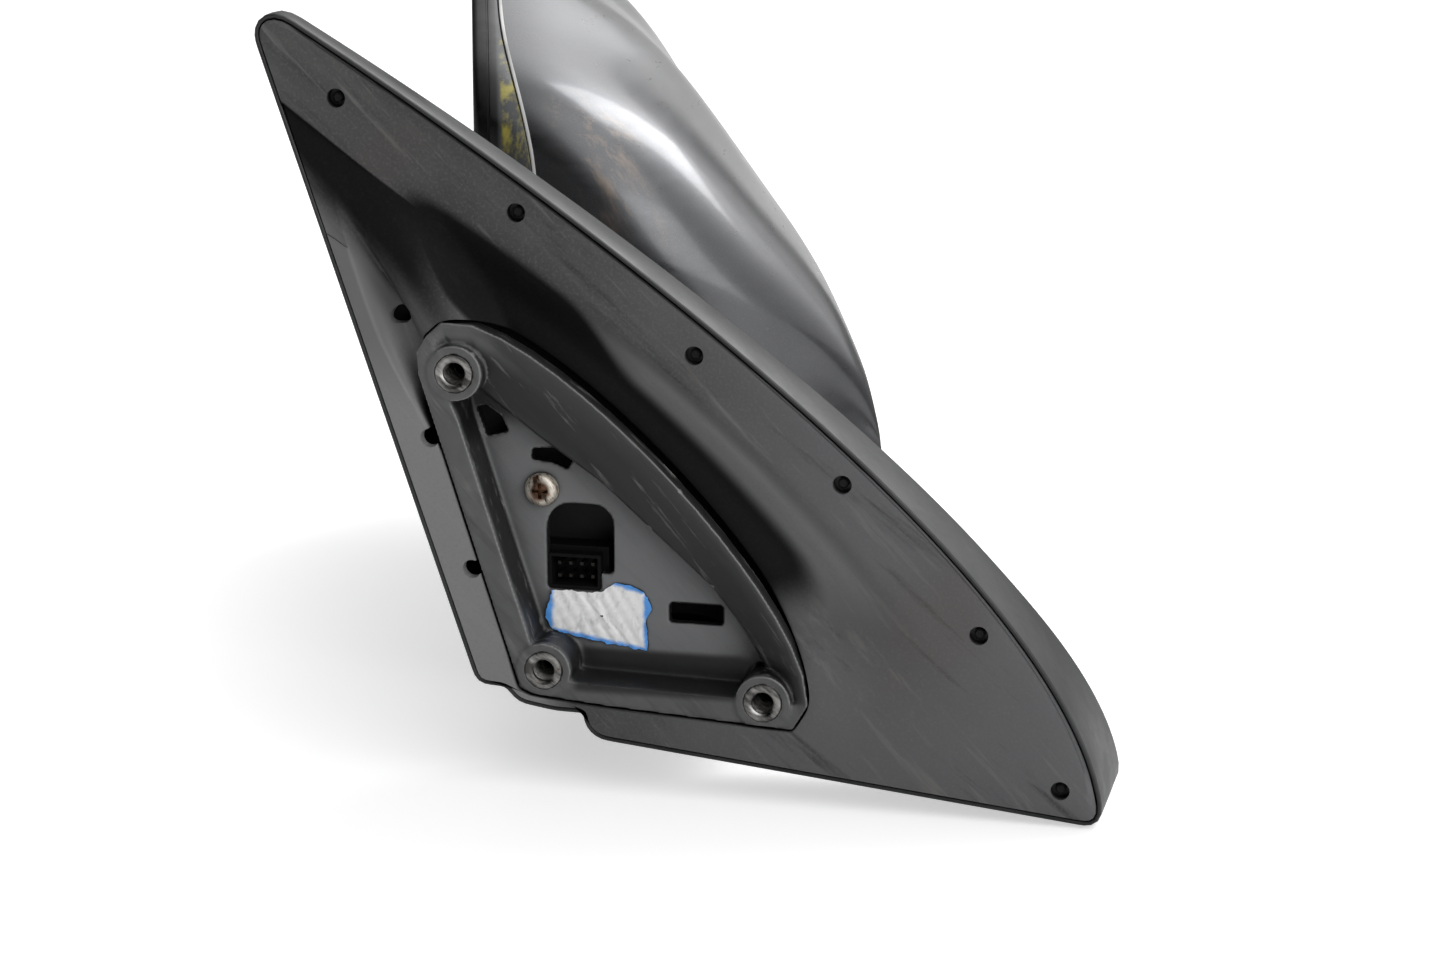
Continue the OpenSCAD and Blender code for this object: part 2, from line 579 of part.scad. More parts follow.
// loop across the head at one depth x
function head_loop(x, d) = let (r = rim(d)) [for (i = [0:head_n - 1]) head_at(x, i, r, d)];
// loop at share t between the cap's edge and its nose
function cap_edge(i) = let (p = rim_line[i]) -rim_back + frame_band
    + frame_inboard * smooth((60 - p[0]) / 60) * smooth((head_top + 4 - p[1]) / 50);
function cap_loop(t, d) = let (r = rim(d)) [for (i = [0:head_n - 1])
    head_point(mix(share_at(cap_edge(i), i, r, d, 0.3, 5), 1, t), i, r, d)];
cap_stops = [0, 0.22, 0.43, 0.61, 0.76, 0.87, 0.95, 0.99];
// section of the cap's faceted surface at depth x
function cap_cut(x, d) = let (l = [for (t = cap_stops) cap_loop(t, d)]) [
    for (i = [0:head_n - 1]) let (
        k = max([for (k = [0:len(cap_stops) - 2]) l[k][i][0] <= x ? k : 0])
    ) mix(l[k][i], l[k + 1][i], (x - l[k][i][0]) / (l[k + 1][i][0] - l[k][i][0]))
];
module head_skin() skin(concat(
    [for (k = [len(cap_stops) - 1:-1:0]) cap_loop(cap_stops[k], cap_wall)],
    [for (t = cap_stops) cap_loop(t, 0)]), ends = "rungs");

module head_cap() color(gloss_black) in_head() difference() {
    head_skin();
    translate([-100, -60, parting_z - 60]) cube([200, 340, 60]);
}
module lower_housing() color(satin_black) in_head() difference() {
    head_skin();
    translate([-100, -60, parting_z - 0.15]) cube([200, 340, 200]);
    translate([0, 0, -20]) cylinder(r = hub_r + 1, h = 50, $fn = fine);
}

opening_in = 9.6;             // wall thickness of the rim, from outside to the glass opening
liner_d = cap_wall + 0.2;
function rim_loop(x, d) = let (r = rim(d)) [for (p = r) [x, p[0], p[1]]];
module bezel_frame() color(satin_black) in_head() difference() {
    skin([
        rim_loop(-rim_back + 0.9, opening_in), rim_loop(-rim_back, opening_in - 0.9),
        rim_loop(-rim_back, 1.6), head_loop(-rim_back + 0.4, 0.6), head_loop(-rim_back + 1.4, 0.3),
        [for (i = [0:head_n - 1]) let (r = rim(0.3)) head_at(cap_edge(i) - 0.2, i, r, 0.3)],
        [for (i = [0:head_n - 1]) let (r = rim(liner_d)) head_at(cap_edge(i) - 0.2, i, r, liner_d)],
        blend(cap_loop(0, liner_d), cap_loop(cap_stops[1], liner_d), 0.55),
        blend(cap_loop(0, liner_d + 2), cap_loop(cap_stops[1], liner_d + 2), 0.55)
    ], ends = "ring");
    translate([0, 0, -20]) cylinder(r = hub_r + 3, h = 140, $fn = fine);
}

// ---------- head: frame ----------

face_x = -rim_back + glass_recess;
tilt_x = face_x + 12;         // depth of the tilt centre
box_front = tilt_x + 8;
split_x = box_front + 10.8;
box_back = box_front + 22.6;
frame_x = split_x + slip;

frame_t = 4;
frame_gap = 0.25;              // assembly clearance between frame and cap
box_gap = 0.6;                // clearance round the actuator in the frame's hole
rib_off = 5;                  // from the actuator to the frame's outer rib
web = 9;                      // from the actuator to the frame's outer windows
function flat(l) = [for (p = l) [p[1], p[2]]];
module head_frame() color([0.2, 0.2, 0.21]) in_head() difference() {
    union() {
        difference() {
            skin([cap_cut(frame_x, cap_wall + frame_gap), cap_cut(frame_x + frame_t, cap_wall + frame_gap)]);
            translate([0, 0, hub_z + 24]) cylinder(r = hub_r + 2, h = 46, $fn = fine);
            translate([0, 0, -10]) cylinder(r = hub_r + 2, h = 10 + hub_z, $fn = fine);
            translate([frame_x - 1, box_y0 - box_gap, box_z0 - box_gap])
                cube([6, box_w + 2 * box_gap, box_h + 2 * box_gap]);
            drive_hollow();
            for (p = [[box_y0 + box_w + web, 34], [box_y0 + box_w + web, 92], [22, 92]])
                translate([frame_x - 1, p[0], p[1]])
                rotate([90, 0, 90]) linear_extrude(8) polygon(rounded([[0, 0, 6], [0, 40, 6],
                    [26, 40, 6], [26, 0, 6]], 4));
        }
        translate([0, 0, hub_z]) cylinder(r = hub_r, h = 24, $fn = fine);
        for (z = [hub_z + 7, hub_z + 18]) translate([frame_x, 0, z]) cube([9 - frame_x, 46, 5]);
        translate([frame_x, hub_r + 4, 32]) cube([frame_t + 6, 4, 60]);
        translate([frame_x, box_y0 + box_w + rib_off, 36]) cube([frame_t + 6, 4, 66]);
    }
    translate([0, 0, hub_z - 1]) cylinder(r = tube_r + bush_gap + bush_wall, h = 40, $fn = fine);
    for (p = ear_places) translate([frame_x - 1, p[0], p[1]]) rotate([0, 90, 0])
        cylinder(d = ear_screw_d, h = 20, $fn = 24);
}
module pivot_bush() color([0.75, 0.73, 0.66]) on_pivot(hub_z) difference() {
    cylinder(r = tube_r + bush_gap + bush_wall - 0.02, h = 24, $fn = fine);
    translate([0, 0, -1]) cylinder(r = tube_r + bush_gap, h = 30, $fn = fine);
}

// ---------- actuator ----------

box_y0 = centre_out - 44;
box_w = 84;
box_z0 = centre_z - 40;
box_h = 82;
shell_t = 1.6;
ear_r = 5;
ear_screw_d = 3;
ear_places = [[box_y0 - 3, box_z0 + 12], [box_y0 - 3, box_z0 + box_h - 12],
    [box_y0 + box_w + 3, box_z0 + 12], [box_y0 + box_w + 3, box_z0 + box_h - 12]];
jack_tilt = [centre_out, centre_z + jack_arm];
jack_pan = [centre_out + jack_arm, centre_z];
ball_r = 4;
socket_gap = 0.9;             // sideways room of a ball in its socket
jack_r = jack_d / 2;
wheel_r = wheel_teeth * gear_pitch / (2 * PI);
tooth = 0.35;
worm_r = 2;
worm_off = wheel_r + worm_r + seat;
gear_x = split_x;
wheel_t = 6;
gimbal_r = 9;
pin_r = 1.5;

module outline_box(grow) translate([box_y0 - grow, box_z0 - grow])
    polygon(rounded([[0, 0, 12], [0, box_h + 2 * grow, 12], [box_w + 2 * grow, box_h + 2 * grow, 12],
        [box_w + 2 * grow, 0, 12]], 5));
// extrudes a [y, z] drawing from depth x0 to x1
module across(x0, x1) translate([x0, 0, 0]) rotate([90, 0, 90]) linear_extrude(x1 - x0) children();
module axial(p, x0, x1, r, n = 32) translate([x0, p[0], p[1]]) rotate([0, 90, 0])
    cylinder(r = r, h = x1 - x0, $fn = n);

module drive_hollow() {
    axial(jack_tilt, gear_x - wheel_t / 2 - 0.3, gear_x + wheel_t / 2 + 0.3, wheel_r + 0.7, 40);
    axial(jack_pan, gear_x - wheel_t / 2 - 0.3, gear_x + wheel_t / 2 + 0.3, wheel_r + 0.7, 40);
    for (p = [jack_tilt, jack_pan]) axial(p, tilt_x, box_back - shell_t, jack_r + 0.35);
    translate([gear_x, jack_tilt[0] - 40, jack_tilt[1] - worm_off]) rotate([-90, 0, 0]) {
        cylinder(d = motor_d + 0.2, h = 28, $fn = 40);
        cylinder(r = worm_r + 0.7, h = 50, $fn = 24);
    }
    translate([gear_x, jack_pan[0] - worm_off, jack_pan[1] - 40]) {
        cylinder(d = motor_d + 0.2, h = 28, $fn = 40);
        cylinder(r = worm_r + 0.7, h = 50, $fn = 24);
    }
}
module actuator_front_shell() color(satin_black) in_head() difference() {
    union() {
        across(box_front, split_x) outline_box(0);
        for (p = ear_places) axial(p, split_x - 3, split_x, ear_r);
        // posts that carry the gimbal's upright pins
        for (s = [-1, 1]) translate([box_front - 12, centre_out - 4, centre_z + s * (gimbal_r + 2.8) - 2])
            cube([13, 8, 4]);
    }
    drive_hollow();
    translate([tilt_x, centre_out, centre_z]) cylinder(r = pin_r + bush_gap, h = 60, center = true, $fn = fine);
    for (p = ear_places) axial(p, split_x - 6, split_x + 1, ear_screw_d / 2, 24);
}
module actuator_rear_shell() color(satin_black) in_head() difference() {
    across(split_x + slip, box_back) outline_box(-0.2);
    drive_hollow();
}
module frame_screws() color(steel) in_head() for (p = ear_places) {
    axial(p, split_x - 5.2, split_x - 3, 2.9, 24);
    axial(p, split_x - 3.1, split_x + 4, ear_screw_d / 2 - 0.02, 24);
}
module actuator_screws() color(steel) in_head() for (p = [[box_y0 + 9, box_z0 + 9],
        [box_y0 + box_w - 9, box_z0 + box_h - 9], [box_y0 + box_w - 9, box_z0 + 9],
        [box_y0 + 9, box_z0 + box_h - 9]])
    axial(p, box_back, box_back + 1.8, 2.7, 24);

module motor_tilt() color(steel) in_head() translate([gear_x, jack_tilt[0] - 39.5, jack_tilt[1] - worm_off])
    rotate([-90, 0, 0]) {
        cylinder(d = motor_d, h = 27, $fn = 40);
        cylinder(r = 0.9, h = 29, $fn = 16);
    }
module motor_pan() color(steel) in_head() translate([gear_x, jack_pan[0] - worm_off, jack_pan[1] - 39.5]) {
    cylinder(d = motor_d, h = 27, $fn = 40);
    cylinder(r = 0.9, h = 29, $fn = 16);
}
worm_len = 8;
function worm_ring(z, r, e, a) = [
    for (j = [0:11]) [e * cos(a) + r * cos(j * 30), e * sin(a) + r * sin(j * 30), z]
];
// worm whose thread stands away from side phase at its middle, with its shaft
module worm(phase) color([0.85, 0.83, 0.75]) skin(concat(
    [for (k = [0:28]) let (z = worm_len * (0.5 - k / 28))
        worm_ring(z, worm_r, tooth, phase + 360 * z / gear_pitch)],
    [for (z = [-worm_len / 2, -worm_len / 2 - 5.5]) worm_ring(z, 1.6, 0, 0)]));
module worm_tilt() in_head() translate([gear_x, jack_tilt[0], jack_tilt[1] - worm_off])
    rotate([-90, 0, 0]) worm(90);
module worm_pan() in_head() translate([gear_x, jack_pan[0] - worm_off, jack_pan[1]]) worm(270);
module drive_wheel(p) color([0.85, 0.83, 0.75]) in_head() translate([gear_x, p[0], p[1]]) rotate([0, 90, 0])
difference() {
    linear_extrude(wheel_t, center = true) polygon([for (i = [0:wheel_teeth * 8 - 1])
        let (a = i * 360 / (wheel_teeth * 8)) (wheel_r + tooth * cos(a * wheel_teeth)) * [cos(a), sin(a)]]);
    cylinder(r = jack_r + 0.05, h = 20, center = true, $fn = fine);
}
module drive_wheel_tilt() drive_wheel(jack_tilt);
module drive_wheel_pan() drive_wheel(jack_pan);
module jack_screw(p) color([0.85, 0.83, 0.75]) in_head() {
    translate([tilt_x, p[0], p[1]]) rotate([0, 90, 0]) sphere(r = ball_r, $fn = 32);
    axial(p, tilt_x, box_front - 2, 2.2);
    axial(p, box_front - 3, box_back - shell_t - 4.5, jack_r, fine);
}
module jack_screw_tilt() jack_screw(jack_tilt);
module jack_screw_pan() jack_screw(jack_pan);

module gimbal_ring() color([0.85, 0.83, 0.75]) in_head() translate([tilt_x, centre_out, centre_z]) {
    rotate([0, 90, 0]) difference() {
        cylinder(r = gimbal_r, h = 5, center = true, $fn = fine);
        cylinder(r = gimbal_r - 3.4, h = 8, center = true, $fn = fine);
    }
    for (a = [0, 90, 180, 270]) rotate([a, 0, 0]) translate([0, 0, gimbal_r - 1.5])
        cylinder(r = pin_r, h = 6.3, $fn = fine);
}

// ---------- glass ----------

glass_line = rim(glass_inset);
function sag(p) = (pow(p[0] - centre_out, 2) + pow(p[1] - centre_z, 2)) / (2 * glass_r);
function plate_loop(line, t, x) = [for (p = line) let (q = mix([centre_out, centre_z], p, t))
    [x + sag(q), q[0], q[1]]];
// plate of the glass's curve between depths x0 and x1, out to share reach of the outline
module domed(line, x0, x1, reach = 1) let (t = (reach - 0.5) * 2) skin([
    plate_loop(line, 0.5, x0), blend(plate_loop(line, 0.5, x0), plate_loop(line, 1, x0), t),
    blend(plate_loop(line, 0.5, x1), plate_loop(line, 1, x1), t), plate_loop(line, 0.5, x1)
]);
holder_x = face_x + glass_t + 0.5;
module mirror_glass() color([0.75, 0.8, 0.85]) in_head() domed(glass_line, face_x, face_x + glass_t);
module glass_heater() color([0.3, 0.3, 0.3]) in_head()
    domed(glass_line, face_x + glass_t + 0.06, holder_x - 0.1, 0.96);
module glass_holder() color(satin_black) in_head() difference() {
    union() {
        domed(glass_line, holder_x, holder_x + holder_t);
        for (p = [jack_tilt, jack_pan]) axial(p, holder_x + 1.6, tilt_x + 2.6, ball_r + socket_gap + 1.7);
        for (s = [-1, 1]) translate([holder_x + 1, centre_out + s * (gimbal_r + 2.8) - 2, centre_z - 4])
            cube([tilt_x + 2.5 - holder_x, 4, 8]);
    }
    for (p = [jack_tilt, jack_pan]) axial(p, tilt_x - ball_r - 0.5, tilt_x + 6, ball_r + socket_gap);
    translate([tilt_x, centre_out, centre_z]) rotate([90, 0, 0])
        cylinder(r = pin_r + bush_gap, h = 60, center = true, $fn = fine);
}

base_gasket();
base_cover();
mount_bracket();
fixing_insert_top();
fixing_insert_rear();
fixing_insert_front();
cover_screw();
connector_housing();
connector_pins();
pivot_tube();
fold_stop_ring();
fold_spring();
spring_seat_washer();
spring_cap();
retaining_ring();
head_cap();
lower_housing();
bezel_frame();
head_frame();
fold_cam_ring();
pivot_bush();
actuator_front_shell();
actuator_rear_shell();
actuator_screws();
frame_screws();
motor_tilt();
motor_pan();
worm_tilt();
worm_pan();
drive_wheel_tilt();
drive_wheel_pan();
jack_screw_tilt();
jack_screw_pan();
gimbal_ring();
glass_holder();
glass_heater();
mirror_glass();
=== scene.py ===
"""Looks of the folding door mirror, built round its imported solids.

The shapes are in millimetres, in the row frame. Blender gets metres.
"""
import math
import bpy
import bmesh
import numpy as np
from mathutils import Matrix, Vector


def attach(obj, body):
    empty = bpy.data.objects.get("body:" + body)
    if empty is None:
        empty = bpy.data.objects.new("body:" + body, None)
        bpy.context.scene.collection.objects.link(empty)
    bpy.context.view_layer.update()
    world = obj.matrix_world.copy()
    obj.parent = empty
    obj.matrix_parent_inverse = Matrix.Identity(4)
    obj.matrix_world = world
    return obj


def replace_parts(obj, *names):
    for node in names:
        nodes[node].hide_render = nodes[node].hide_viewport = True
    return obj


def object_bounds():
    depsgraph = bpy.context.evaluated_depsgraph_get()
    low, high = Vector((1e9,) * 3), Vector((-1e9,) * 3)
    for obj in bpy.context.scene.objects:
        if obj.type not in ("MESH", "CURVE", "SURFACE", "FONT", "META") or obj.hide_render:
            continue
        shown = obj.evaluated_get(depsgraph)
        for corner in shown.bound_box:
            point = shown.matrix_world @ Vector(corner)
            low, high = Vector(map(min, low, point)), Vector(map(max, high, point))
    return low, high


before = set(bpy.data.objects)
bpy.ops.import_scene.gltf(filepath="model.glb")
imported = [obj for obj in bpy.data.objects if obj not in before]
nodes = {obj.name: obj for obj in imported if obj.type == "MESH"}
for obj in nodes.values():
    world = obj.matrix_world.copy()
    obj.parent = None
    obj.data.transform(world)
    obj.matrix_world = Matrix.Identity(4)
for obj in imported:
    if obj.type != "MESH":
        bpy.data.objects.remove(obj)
cad_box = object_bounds()
scene = bpy.context.scene

# ---------- sizes that the source has too ----------

MM = 0.001
X, Y, Z = range(3)
PX, PY = 18, 80                             # the axis that the head folds round
YAW = math.radians(16)                      # of the head on that axis
ARM_W, ARM_TOP, ARM_LOW = 52, 8, -11
GASKET = 3                                  # thickness
COVER_WALL, SHELL_WALL = 2.4, 2.2
FLOOR = 11.5                                # depth of the bracket's tray
SCREW_X, SCREW_Z = -2.6, 42.9
HEAD_LOW, HEAD_TOP, HEAD_OUT = 8.8, 154, 216
RIM_BACK = 54                               # from the axis to the rim round the glass
NOSE_X, NOSE_Z = 52, 30                     # the head's foremost line
PARTING = 20                                # height where the cap meets the lower shell


def placed(name, data):
    """a new object in the scene"""
    obj = bpy.data.objects.new(name, data)
    scene.collection.objects.link(obj)
    return obj


# ---------- camera ----------

AZIMUTH, ELEVATION = math.radians(12), math.radians(15)
EYE = (0.2069, -0.7627, 0.2593)

right = Vector((math.cos(AZIMUTH), math.sin(AZIMUTH), 0))
ahead = Vector((-math.sin(AZIMUTH) * math.cos(ELEVATION), math.cos(AZIMUTH) * math.cos(ELEVATION),
                -math.sin(ELEVATION)))
cam = placed("camera", bpy.data.cameras.new("camera"))
cam.data.lens = 84.71
cam.data.sensor_width = 36
cam.data.clip_start = 0.01
turn = Matrix((right, right.cross(ahead), -ahead)).transposed().to_4x4()
cam.matrix_world = Matrix.Translation(EYE) @ turn
bpy.context.scene.camera = cam

# ---------- small maths ----------


def smooth(t):
    """0 to 1 with soft ends"""
    t = np.clip(t, 0, 1)
    return t * t * (3 - 2 * t)


def mix(a, b, t):
    return a + (b - a) * t


def unit(v):
    return v / np.linalg.norm(v, axis=-1, keepdims=True)


def bezier(p, n):
    """n steps along a cubic curve"""
    t = np.linspace(0, 1, n + 1)[:, None]
    p = np.array(p, float)
    s = 1 - t
    return s**3 * p[0] + 3 * s * s * t * p[1] + 3 * s * t * t * p[2] + t**3 * p[3]


def spaced(p, n):
    """n points at even distances along an open line, its end left out"""
    p = np.array(p, float)
    run = np.r_[0, np.cumsum(np.linalg.norm(np.diff(p, axis=0), axis=1))]
    at = np.arange(n) * run[-1] / n
    return np.c_[np.interp(at, run, p[:, 0]), np.interp(at, run, p[:, 1])]


def corner(a, b, c, r, n):
    """arc of radius r that rounds the corner b"""
    a, b, c = (np.array(v[:2], float) for v in (a, b, c))
    u, v = unit(a - b), unit(c - b)
    half = math.acos(max(-1, min(1, u @ v))) / 2
    centre = b + unit(u + v) * r / math.sin(half)
    first = b + u * r / math.tan(half) - centre
    last = b + v * r / math.tan(half) - centre
    start = math.atan2(first[1], first[0])
    sweep = math.atan2(first[0] * last[1] - first[1] * last[0], first @ last)
    k = start + sweep * np.linspace(0, 1, n + 1)
    return centre + r * np.c_[np.cos(k), np.sin(k)]


def rounded(v, n):
    """closed outline through corners of [x, y, radius]"""
    m = len(v)
    return np.vstack([corner(v[i - 1], v[i], v[(i + 1) % m], v[i][2], n) for i in range(m)])


def grown(p, d):
    """a closed outline moved outwards by d"""
    along = unit(np.roll(p, -1, 0) - np.roll(p, 1, 0))
    return p + d * np.c_[-along[:, 1], along[:, 0]]


def soften(p, times):
    """evens out a closed row of points or numbers"""
    for _ in range(times):
        p = (np.roll(p, 1, 0) + 2 * p + np.roll(p, -1, 0)) / 4
    return p


def hermite(p, q, m, n, t):
    """from p to q with slopes m and n"""
    s = 1 - t
    return (1 + 2 * t) * s**2 * p + t * s**2 * m + t * t * (3 - 2 * t) * q + t * t * (t - 1) * n


def table(x, rows):
    """smooth curve through rows of [x, value]"""
    xs, ys = np.array(rows, float).T
    h = np.diff(xs)
    s = np.diff(ys) / h
    m = np.r_[s[0], (s[:-1] + s[1:]) / 2, s[-1]]
    m[np.r_[False, s[:-1] * s[1:] <= 0, False]] = 0
    x = np.clip(x, xs[0], xs[-1])
    k = np.clip(np.searchsorted(xs, x, "right") - 1, 0, len(h) - 1)
    return hermite(ys[k], ys[k + 1], h[k] * m[k], h[k] * m[k + 1], (x - xs[k]) / h[k])


def dense(loops, steps):
    """adds loops between each pair, on a smooth curve through all of them"""
    a = np.array(loops, float)
    out = []
    for j in range(len(a) - 1):
        p, q = a[j], a[j + 1]
        before, after = p - a[max(j - 1, 0)], a[min(j + 2, len(a) - 1)] - q
        d, d_before, d_after = (np.linalg.norm(v, axis=1, keepdims=True) for v in (q - p, before, after))
        d_before, d_after = np.maximum(d_before, 1e-6), np.maximum(d_after, 1e-6)
        way = (q - p) / np.maximum(d, 1e-6)
        m = 0.5 * (before / d_before + way) * np.minimum(d, d_before * 2)
        n = 0.5 * (after / d_after + way) * np.minimum(d, d_after * 2)
        out += [hermite(p, q, m, n, t) for t in np.linspace(0, 1, steps[j] + 1)[:-1]]
    out.append(a[-1])
    return out


def lifted(p, y):
    """an [x, z] outline at depth y"""
    return np.c_[p[:, 0], np.broadcast_to(y, len(p)), p[:, 1]]


# ---------- mesh helpers ----------


def rework(mesh, change):
    """runs a bmesh edit on a mesh"""
    bm = bmesh.new()
    bm.from_mesh(mesh)
    change(bm)
    bm.to_mesh(mesh)
    bm.free()


def weld(bm):
    bmesh.ops.remove_doubles(bm, verts=bm.verts, dist=1e-6)


def shade(obj, sharp=35):
    """smooth, but for edges that turn by more than sharp degrees"""
    obj.data.shade_smooth()
    obj.data.set_sharp_from_angle(angle=math.radians(sharp))
    return obj


def piece(name, verts, faces, sharp=35):
    """a new mesh from points in millimetres"""
    def clean(bm):
        weld(bm)
        bmesh.ops.recalc_face_normals(bm, faces=bm.faces)

    mesh = bpy.data.meshes.new(name)
    mesh.from_pydata([tuple(v) for v in np.array(verts, float) * MM], [], faces)
    mesh.validate()
    mesh.update()
    rework(mesh, clean)
    return shade(placed(name, mesh), sharp)


def loop_faces(m, n, ring=False):
    """faces between m loops of n points; in a ring the last loop joins the first"""
    f = []
    for j in range(m if ring else m - 1):
        a, b = j * n, (j + 1) % m * n
        f += [(a + i, a + (i + 1) % n, b + (i + 1) % n, b + i) for i in range(n)]
    return f


def end_strips(m, n):
    """strips that close the first and the last loop"""
    f = []
    for base in (0, (m - 1) * n):
        for k in range(n // 2):
            quad = [base + v for v in dict.fromkeys((k, k + 1, (n - k - 1) % n, (n - k) % n))]
            if len(quad) > 2:
                f.append(tuple(quad))
    return f


def loft(name, loops, sharp, ring=False):
    """a skin over loops, closed at both ends or joined into a ring"""
    m, n = len(loops), len(loops[0])
    return piece(name, np.vstack(loops), loop_faces(m, n, ring) + ([] if ring else end_strips(m, n)), sharp)


def lathe(name, profile, centre, axis, n):
    """turns [radius, height] rows round an axis through centre"""
    z = unit(np.array(axis, float))
    x = unit(np.cross(z, [0.3, 0.8, 0.52]))
    y = np.cross(z, x)
    k = np.linspace(0, 2 * np.pi, n, endpoint=False)[:, None]
    around = np.cos(k) * x + np.sin(k) * y
    loops = [np.array(centre, float) + r * around + h * z for r, h in profile]
    caps = [tuple(range(n)), tuple(range((len(loops) - 1) * n, len(loops) * n))]
    return piece(name, np.vstack(loops), loop_faces(len(loops), n) + caps)


def pivot_hole(radius, low, high):
    return lathe("hole", [(radius, low), (radius, high)], (PX, PY, 0), (0, 0, 1), 96)


def box(lo, hi):
    """a plain box to carve with"""
    mesh = bpy.data.meshes.new("box")
    lo, hi = np.array(lo, float), np.array(hi, float)
    bm = bmesh.new()
    bmesh.ops.create_cube(bm, size=1)
    for v in bm.verts:
        v.co = Vector((lo + (hi - lo) * (np.array(v.co) + 0.5)) * MM)
    bm.to_mesh(mesh)
    bm.free()
    return placed("box", mesh)


def apply_modifier(obj, kind, **options):
    """adds a modifier and keeps its result as the mesh"""
    mod = obj.modifiers.new(kind.lower(), kind)
    for k, v in options.items():
        setattr(mod, k, v)
    dg = bpy.context.evaluated_depsgraph_get()
    mesh = bpy.data.meshes.new_from_object(obj.evaluated_get(dg))
    obj.modifiers.clear()
    obj.data = mesh


def carve(obj, tools, sharp):
    """cuts the tools out of a piece and deletes them"""
    for tool in tools:
        apply_modifier(obj, "BOOLEAN", object=tool, operation="DIFFERENCE", solver="EXACT")
    for tool in tools:
        bpy.data.objects.remove(tool)
    shade(obj, sharp)


def cut(obj, height, normal):
    """removes what lies beyond a level plane and closes the cut"""
    def slice_off(bm):
        got = bmesh.ops.bisect_plane(
            bm, geom=bm.verts[:] + bm.edges[:] + bm.faces[:], plane_co=Vector((0, 0, height)) * MM,
            plane_no=Vector(normal), clear_outer=True, dist=1e-7)
        edges = [e for e in got["geom_cut"] if isinstance(e, bmesh.types.BMEdge)]
        bmesh.ops.triangle_fill(bm, edges=edges, use_beauty=True)
        bmesh.ops.recalc_face_normals(bm, faces=bm.faces)

    rework(obj.data, slice_off)
    shade(obj)


# ---------- materials ----------


